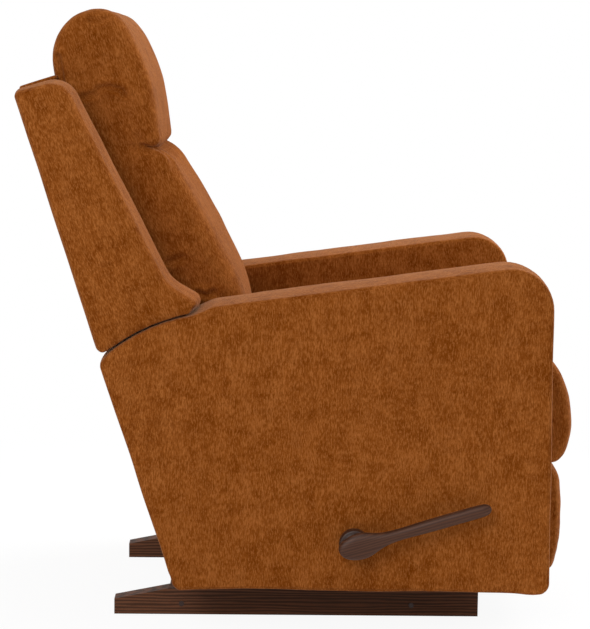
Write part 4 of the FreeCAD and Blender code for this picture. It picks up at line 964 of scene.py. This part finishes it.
def crease_ends(piece, creases):
    """Folds in the two end panels: a narrow groove with a soft swell beside it."""
    flat = np.stack(along_lean(places_of(piece.data)), 1)
    amounts = np.zeros(len(flat))
    for line, depth, width in creases:
        line = np.array(line)
        near = np.full(len(flat), 1.0)
        for first, last in zip(line, line[1:]):
            run = last - first
            share = np.clip((flat - first) @ run / (run @ run), 0, 1)
            near = np.minimum(near, np.linalg.norm(flat - first - share[:, None] * run, axis=1))
        amounts += depth * (0.45 * bump_of(near - width * 2.4, width * 1.3) - bump_of(near, width))
    push(piece.data, amounts * np.clip(np.abs(normals_of(piece.data)[:, 0]) * 1.6 - 0.3, 0, 1))


def make_back_cushion():
    """The back in one cover, tucked across its front between head and lumbar padding."""
    def held(co):
        behind, up = along_lean(co)
        flat = np.clip((behind - RAIL_HOLD) / 0.004, 0, 1)
        foot = np.clip((FOOT_HOLD - up) / 0.010, 0, 1) * 0.6
        front = np.clip(-behind / 0.02, 0, 1)
        tuck = bump_of(tuck_distance(co), 0.010) * front
        return np.maximum.reduce([flat, foot, tuck]), end_lines(co, BACK_HELD, 0.006) * 0.75

    piece = sections("back_pillow", BACK_PROFILE, BACK_HALF, leaned, crown=0.005,
                     rounds=(0.016, 0.042), draw=0.007, crisp=0.585)
    swollen(piece, held, voxel=0.0060, draw=0.007, swell=0.003, share=0.35)
    fill_out_ends(piece)
    carve_tuck(piece)
    sew_ends(piece, BACK_SEAM)
    gather(piece, tuck_distance, 0.026, 0.0014, 0.034, 43)
    slacken(piece, 0.0015, 41, size=0.12)
    crease_ends(piece, END_CREASES)
    spots = []
    for x in (MIDDLE - BACK_HALF, MIDDLE + BACK_HALF):
        spots += [(leaned(x, -0.028, 0.641), 0.026, 0.0026, 3, 0.6),
                  (leaned(x, -0.014, 0.866), 0.024, 0.0010, 4, 0.2),
                  (leaned(x, -0.072, 0.354), 0.026, 0.0020, 3, 0.3)]
    pucker(piece, spots)
    finish_piece(piece, "back", leaned_chenille,
                 ["lumbar_cushion", "head_cushion"])


# The handle

# The lever along its length, from behind its boss to the grip's end: how far from the middle of
# the boss, how far it reaches above its line and how far below
LEVER_MIDDLE = (-0.088, 0.168)
LEVER_STATIONS = [(-0.0240, 0.0, 0.0), (-0.0230, 0.0060, 0.0050), (-0.0200, 0.0108, 0.0105),
                  (-0.0138, 0.0152, 0.0168), (-0.0060, 0.0182, 0.0203), (0.0020, 0.0203, 0.0226),
                  (0.0100, 0.0213, 0.0238), (0.0186, 0.0206, 0.0236), (0.0274, 0.0185, 0.0218),
                  (0.0360, 0.0154, 0.0186), (0.0450, 0.0123, 0.0150), (0.0560, 0.0101, 0.0118),
                  (0.0700, 0.0093, 0.0100), (0.0860, 0.0094, 0.0095), (0.1080, 0.0100, 0.0100),
                  (0.1280, 0.0105, 0.0105), (0.1520, 0.0108, 0.0107), (0.1760, 0.0107, 0.0105),
                  (0.1980, 0.0108, 0.0106), (0.2140, 0.0108, 0.0107), (0.2260, 0.0101, 0.0102),
                  (0.2330, 0.0083, 0.0084), (0.2370, 0.0050, 0.0050), (0.2385, 0.0, 0.0)]
# Where above and below add up to this, the lever has its whole thickness. Below 1, the power
# makes its section a little squarer than an ellipse.
LEVER_FULL = 0.0196
LEVER_POWER = 0.82


def bulged(value):
    """A sine or cosine pushed outwards, for a section squarer than an ellipse."""
    return math.copysign(abs(value) ** LEVER_POWER, value)


def make_handle():
    """A turned wooden lever: round boss, slim neck and a fuller grip with a rounded end."""
    low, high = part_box("handle_lever")
    middle_x = (low[0] + high[0]) / 2
    thick = (high[0] - low[0]) / 2
    around = 28
    verts = []
    for reach, above, below in LEVER_STATIONS:
        depth = thick * min(1.0, (above + below) / LEVER_FULL)
        for i in range(around):
            angle = 2 * math.pi * i / around
            upward = bulged(math.sin(angle))
            aside = (above if upward > 0 else below) * upward
            y = LEVER_MIDDLE[0] - reach * math.cos(LEVER_RISE) + aside * math.sin(LEVER_RISE)
            z = LEVER_MIDDLE[1] + reach * math.sin(LEVER_RISE) + aside * math.cos(LEVER_RISE)
            verts.append((middle_x + depth * bulged(math.cos(angle)), y, z))
    piece = closed_piece("lever_grip", verts, ring_faces(len(LEVER_STATIONS), around))
    refined(piece)
    finish_piece(piece, "handle", lever_walnut, ["handle_lever"])


# The hub's rings, from its outer face inwards: how far in, and the radius
HUB_MIDDLE = (-0.091, 0.169)
HUB_RINGS = [(0.0, 0.0), (0.0, 0.0165), (0.0006, 0.0172), (0.0006, 0.0218), (0.0012, 0.0236),
             (0.0030, 0.0247), (0.0055, 0.0250), (0.0180, 0.0250), (0.0200, 0.0246), (0.0212, 0.0)]


def make_hub():
    """The round block behind the lever, with a rounded rim and a shallow turned step."""
    outer_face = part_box("handle_hub")[0][0]
    around = 64
    verts = []
    for inward, radius in HUB_RINGS:
        for i in range(around):
            angle = 2 * math.pi * i / around
            verts.append((outer_face + inward, HUB_MIDDLE[0] + radius * math.cos(angle),
                          HUB_MIDDLE[1] + radius * math.sin(angle)))
    piece = closed_piece("hub_block", verts, ring_faces(len(HUB_RINGS), around))
    finish_piece(piece, "handle", hub_brown, ["handle_hub"])


# The rocker springs: real coils in place of the CAD tubes

# The coils stand this far inside the CAD tubes' two ends
COIL_CLEAR = 0.0018


def coil_tree():
    """A Geometry Nodes tree that puts a coil on each vertex, and its inputs' identifiers."""
    tree = bpy.data.node_groups.new("Coil springs", "GeometryNodeTree")
    face = tree.interface
    face.new_socket("Geometry", in_out="OUTPUT", socket_type="NodeSocketGeometry")
    face.new_socket("Geometry", in_out="INPUT", socket_type="NodeSocketGeometry")
    names = {}
    for label, kind, value in (("Coil radius", "NodeSocketFloat", 0.0115),
                               ("Wire radius", "NodeSocketFloat", 0.0016),
                               ("Height", "NodeSocketFloat", 0.06),
                               ("Turns", "NodeSocketFloat", 6.0),
                               ("Finish", "NodeSocketMaterial", None)):
        socket = face.new_socket(label, in_out="INPUT", socket_type=kind)
        if value is not None:
            socket.default_value = value
        names[label] = socket.identifier
    t = Tree(tree)
    given = t.add("NodeGroupInput").outputs
    spiral = t.add("GeometryNodeCurveSpiral", {
        "Resolution": 22, "Rotations": given["Turns"], "Start Radius": given["Coil radius"],
        "End Radius": given["Coil radius"], "Height": given["Height"]}).outputs[0]
    profile = t.add("GeometryNodeCurvePrimitiveCircle", {
        "Resolution": 10, "Radius": given["Wire radius"]}).outputs[0]
    coil = t.add("GeometryNodeCurveToMesh", {
        "Curve": spiral, "Profile Curve": profile, "Fill Caps": True}).outputs[0]
    placed = t.add("GeometryNodeInstanceOnPoints", {
        "Points": given["Geometry"], "Instance": coil}).outputs[0]
    real = t.add("GeometryNodeRealizeInstances", {0: placed}).outputs[0]
    done = t.add("GeometryNodeSetMaterial", {"Geometry": real, "Material": given["Finish"]}).outputs[0]
    t.add("NodeGroupOutput", {0: done})
    return tree, names


def make_springs():
    """The four rocker springs, which stretch between the base and the frame that rocks."""
    co = places_of(frame["nodes"]["rocker_springs"].data)
    low, high = co[:, 2].min(), co[:, 2].max()
    centres = []
    for x_side in (-1, 1):
        for y_side in (-1, 1):
            near = co[(np.sign(co[:, 0] - MIDDLE) == x_side) & (np.sign(co[:, 1]) == y_side)]
            centres.append(((near[:, 0].min() + near[:, 0].max()) / 2,
                            (near[:, 1].min() + near[:, 1].max()) / 2, low + COIL_CLEAR))
    mesh = bpy.data.meshes.new("rocker_coils")
    mesh.from_pydata([tuple(map(float, c)) for c in centres], [], [])
    piece = new_object("rocker_coils", mesh)
    tree, names = coil_tree()
    maker = piece.modifiers.new("coils", "NODES")
    maker.node_group = tree
    maker[names["Height"]] = float(high - low - 2 * COIL_CLEAR)
    maker[names["Coil radius"]] = 0.0112
    maker[names["Finish"]] = black_steel
    settle(piece)
    finish_piece(piece, "chair_frame", black_steel, ["rocker_springs"])
    piece.parent = None
    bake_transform(piece)


# Floor, light and camera

LIT_PLACE = Vector((0.0, 0.0, 0.5))


def make_floor():
    """A white floor that takes a soft shadow and fades into the white behind it."""
    mesh = bpy.data.meshes.new("studio_floor")
    half = 6.0
    mesh.from_pydata([(-half, -half, 0), (half, -half, 0), (half, half, 0), (-half, half, 0)], [],
                     [(0, 1, 2, 3)])
    floor = new_object("studio_floor", mesh)
    material = bpy.data.materials.new("pale_floor")
    t = emptied(material)
    plain = t.add("ShaderNodeBsdfDiffuse", {"Color": (0.9, 0.9, 0.9, 1)}).outputs[0]
    white = t.add("ShaderNodeEmission", {"Color": (1, 1, 1, 1), "Strength": 1.0}).outputs[0]
    where = t.add("ShaderNodeTexCoord").outputs["Object"]
    far = t.add("ShaderNodeVectorMath", {0: where}, operation="LENGTH").outputs["Value"]
    share = t.add("ShaderNodeMapRange", {"Value": far, "From Min": 0.5, "From Max": 1.6,
                                         "To Min": 0.92, "To Max": 1.0}).outputs[0]
    shown = t.math("MULTIPLY", share, t.seen_directly())
    mixed = t.add("ShaderNodeMixShader", {0: shown, 1: plain, 2: white})
    t.add("ShaderNodeOutputMaterial", {0: mixed.outputs[0]})
    mesh.materials.append(material)


def make_world():
    """White where the camera looks past the chair, and half as bright as a light."""
    world = bpy.data.worlds.new("studio")
    bpy.context.scene.world = world
    t = emptied(world)
    light = t.add("ShaderNodeBackground", {"Color": (1, 1, 1, 1), "Strength": 0.5}).outputs[0]
    shown = t.add("ShaderNodeBackground", {"Color": (1, 1, 1, 1), "Strength": 1.0}).outputs[0]
    mixed = t.add("ShaderNodeMixShader", {0: t.seen_directly(), 1: light, 2: shown})
    t.add("ShaderNodeOutputWorld", {0: mixed.outputs[0]})


def add_lamp(name, place, size, power):
    """A square soft lamp that points at the middle of the chair."""
    lamp = bpy.data.lights.new(name, "AREA")
    lamp.shape, lamp.size, lamp.energy = "SQUARE", size, power
    holder = bpy.data.objects.new(name, lamp)
    bpy.context.scene.collection.objects.link(holder)
    holder.location = place
    holder.rotation_euler = (LIT_PLACE - Vector(place)).to_track_quat("-Z", "Y").to_euler()


def make_lamps():
    """Four soft lamps: the strongest in front on the far side, and weaker ones above, beside
    and behind."""
    add_lamp("front_softbox", (1.9, -2.6, 2.1), 2.0, 148)
    add_lamp("top_softbox", (0.0, -0.2, 3.4), 2.4, 32)
    add_lamp("side_softbox", (-3.2, 1.3, 2.3), 2.0, 62)
    add_lamp("rear_softbox", (1.6, 3.0, 2.2), 2.0, 22)


def make_camera():
    """The photograph's view, as it was fitted to the rails and the arms."""
    lens = bpy.data.cameras.new("photo_view")
    lens.sensor_fit = "AUTO"
    lens.sensor_width = 36
    lens.lens = 120.76
    camera = bpy.data.objects.new("photo_view", lens)
    bpy.context.scene.collection.objects.link(camera)
    axes = Matrix(((-0.01694, 0.11880, -0.99277), (-0.99978, 0.01041, 0.01830),
                   (0.01251, 0.99286, 0.11860)))
    camera.matrix_world = Matrix.Translation((-3.8225, 0.0754, 0.9632)) @ axes.to_4x4()
    bpy.context.scene.camera = camera
    bpy.context.scene.view_settings.view_transform = "Standard"


make_floor()
make_world()
make_lamps()
make_camera()
dress_nodes()
make_arms()
make_wings()
make_rear_covers()
make_seat_cushion()
make_footrest_pad()
make_back_cushion()
make_handle()
make_hub()
make_springs()
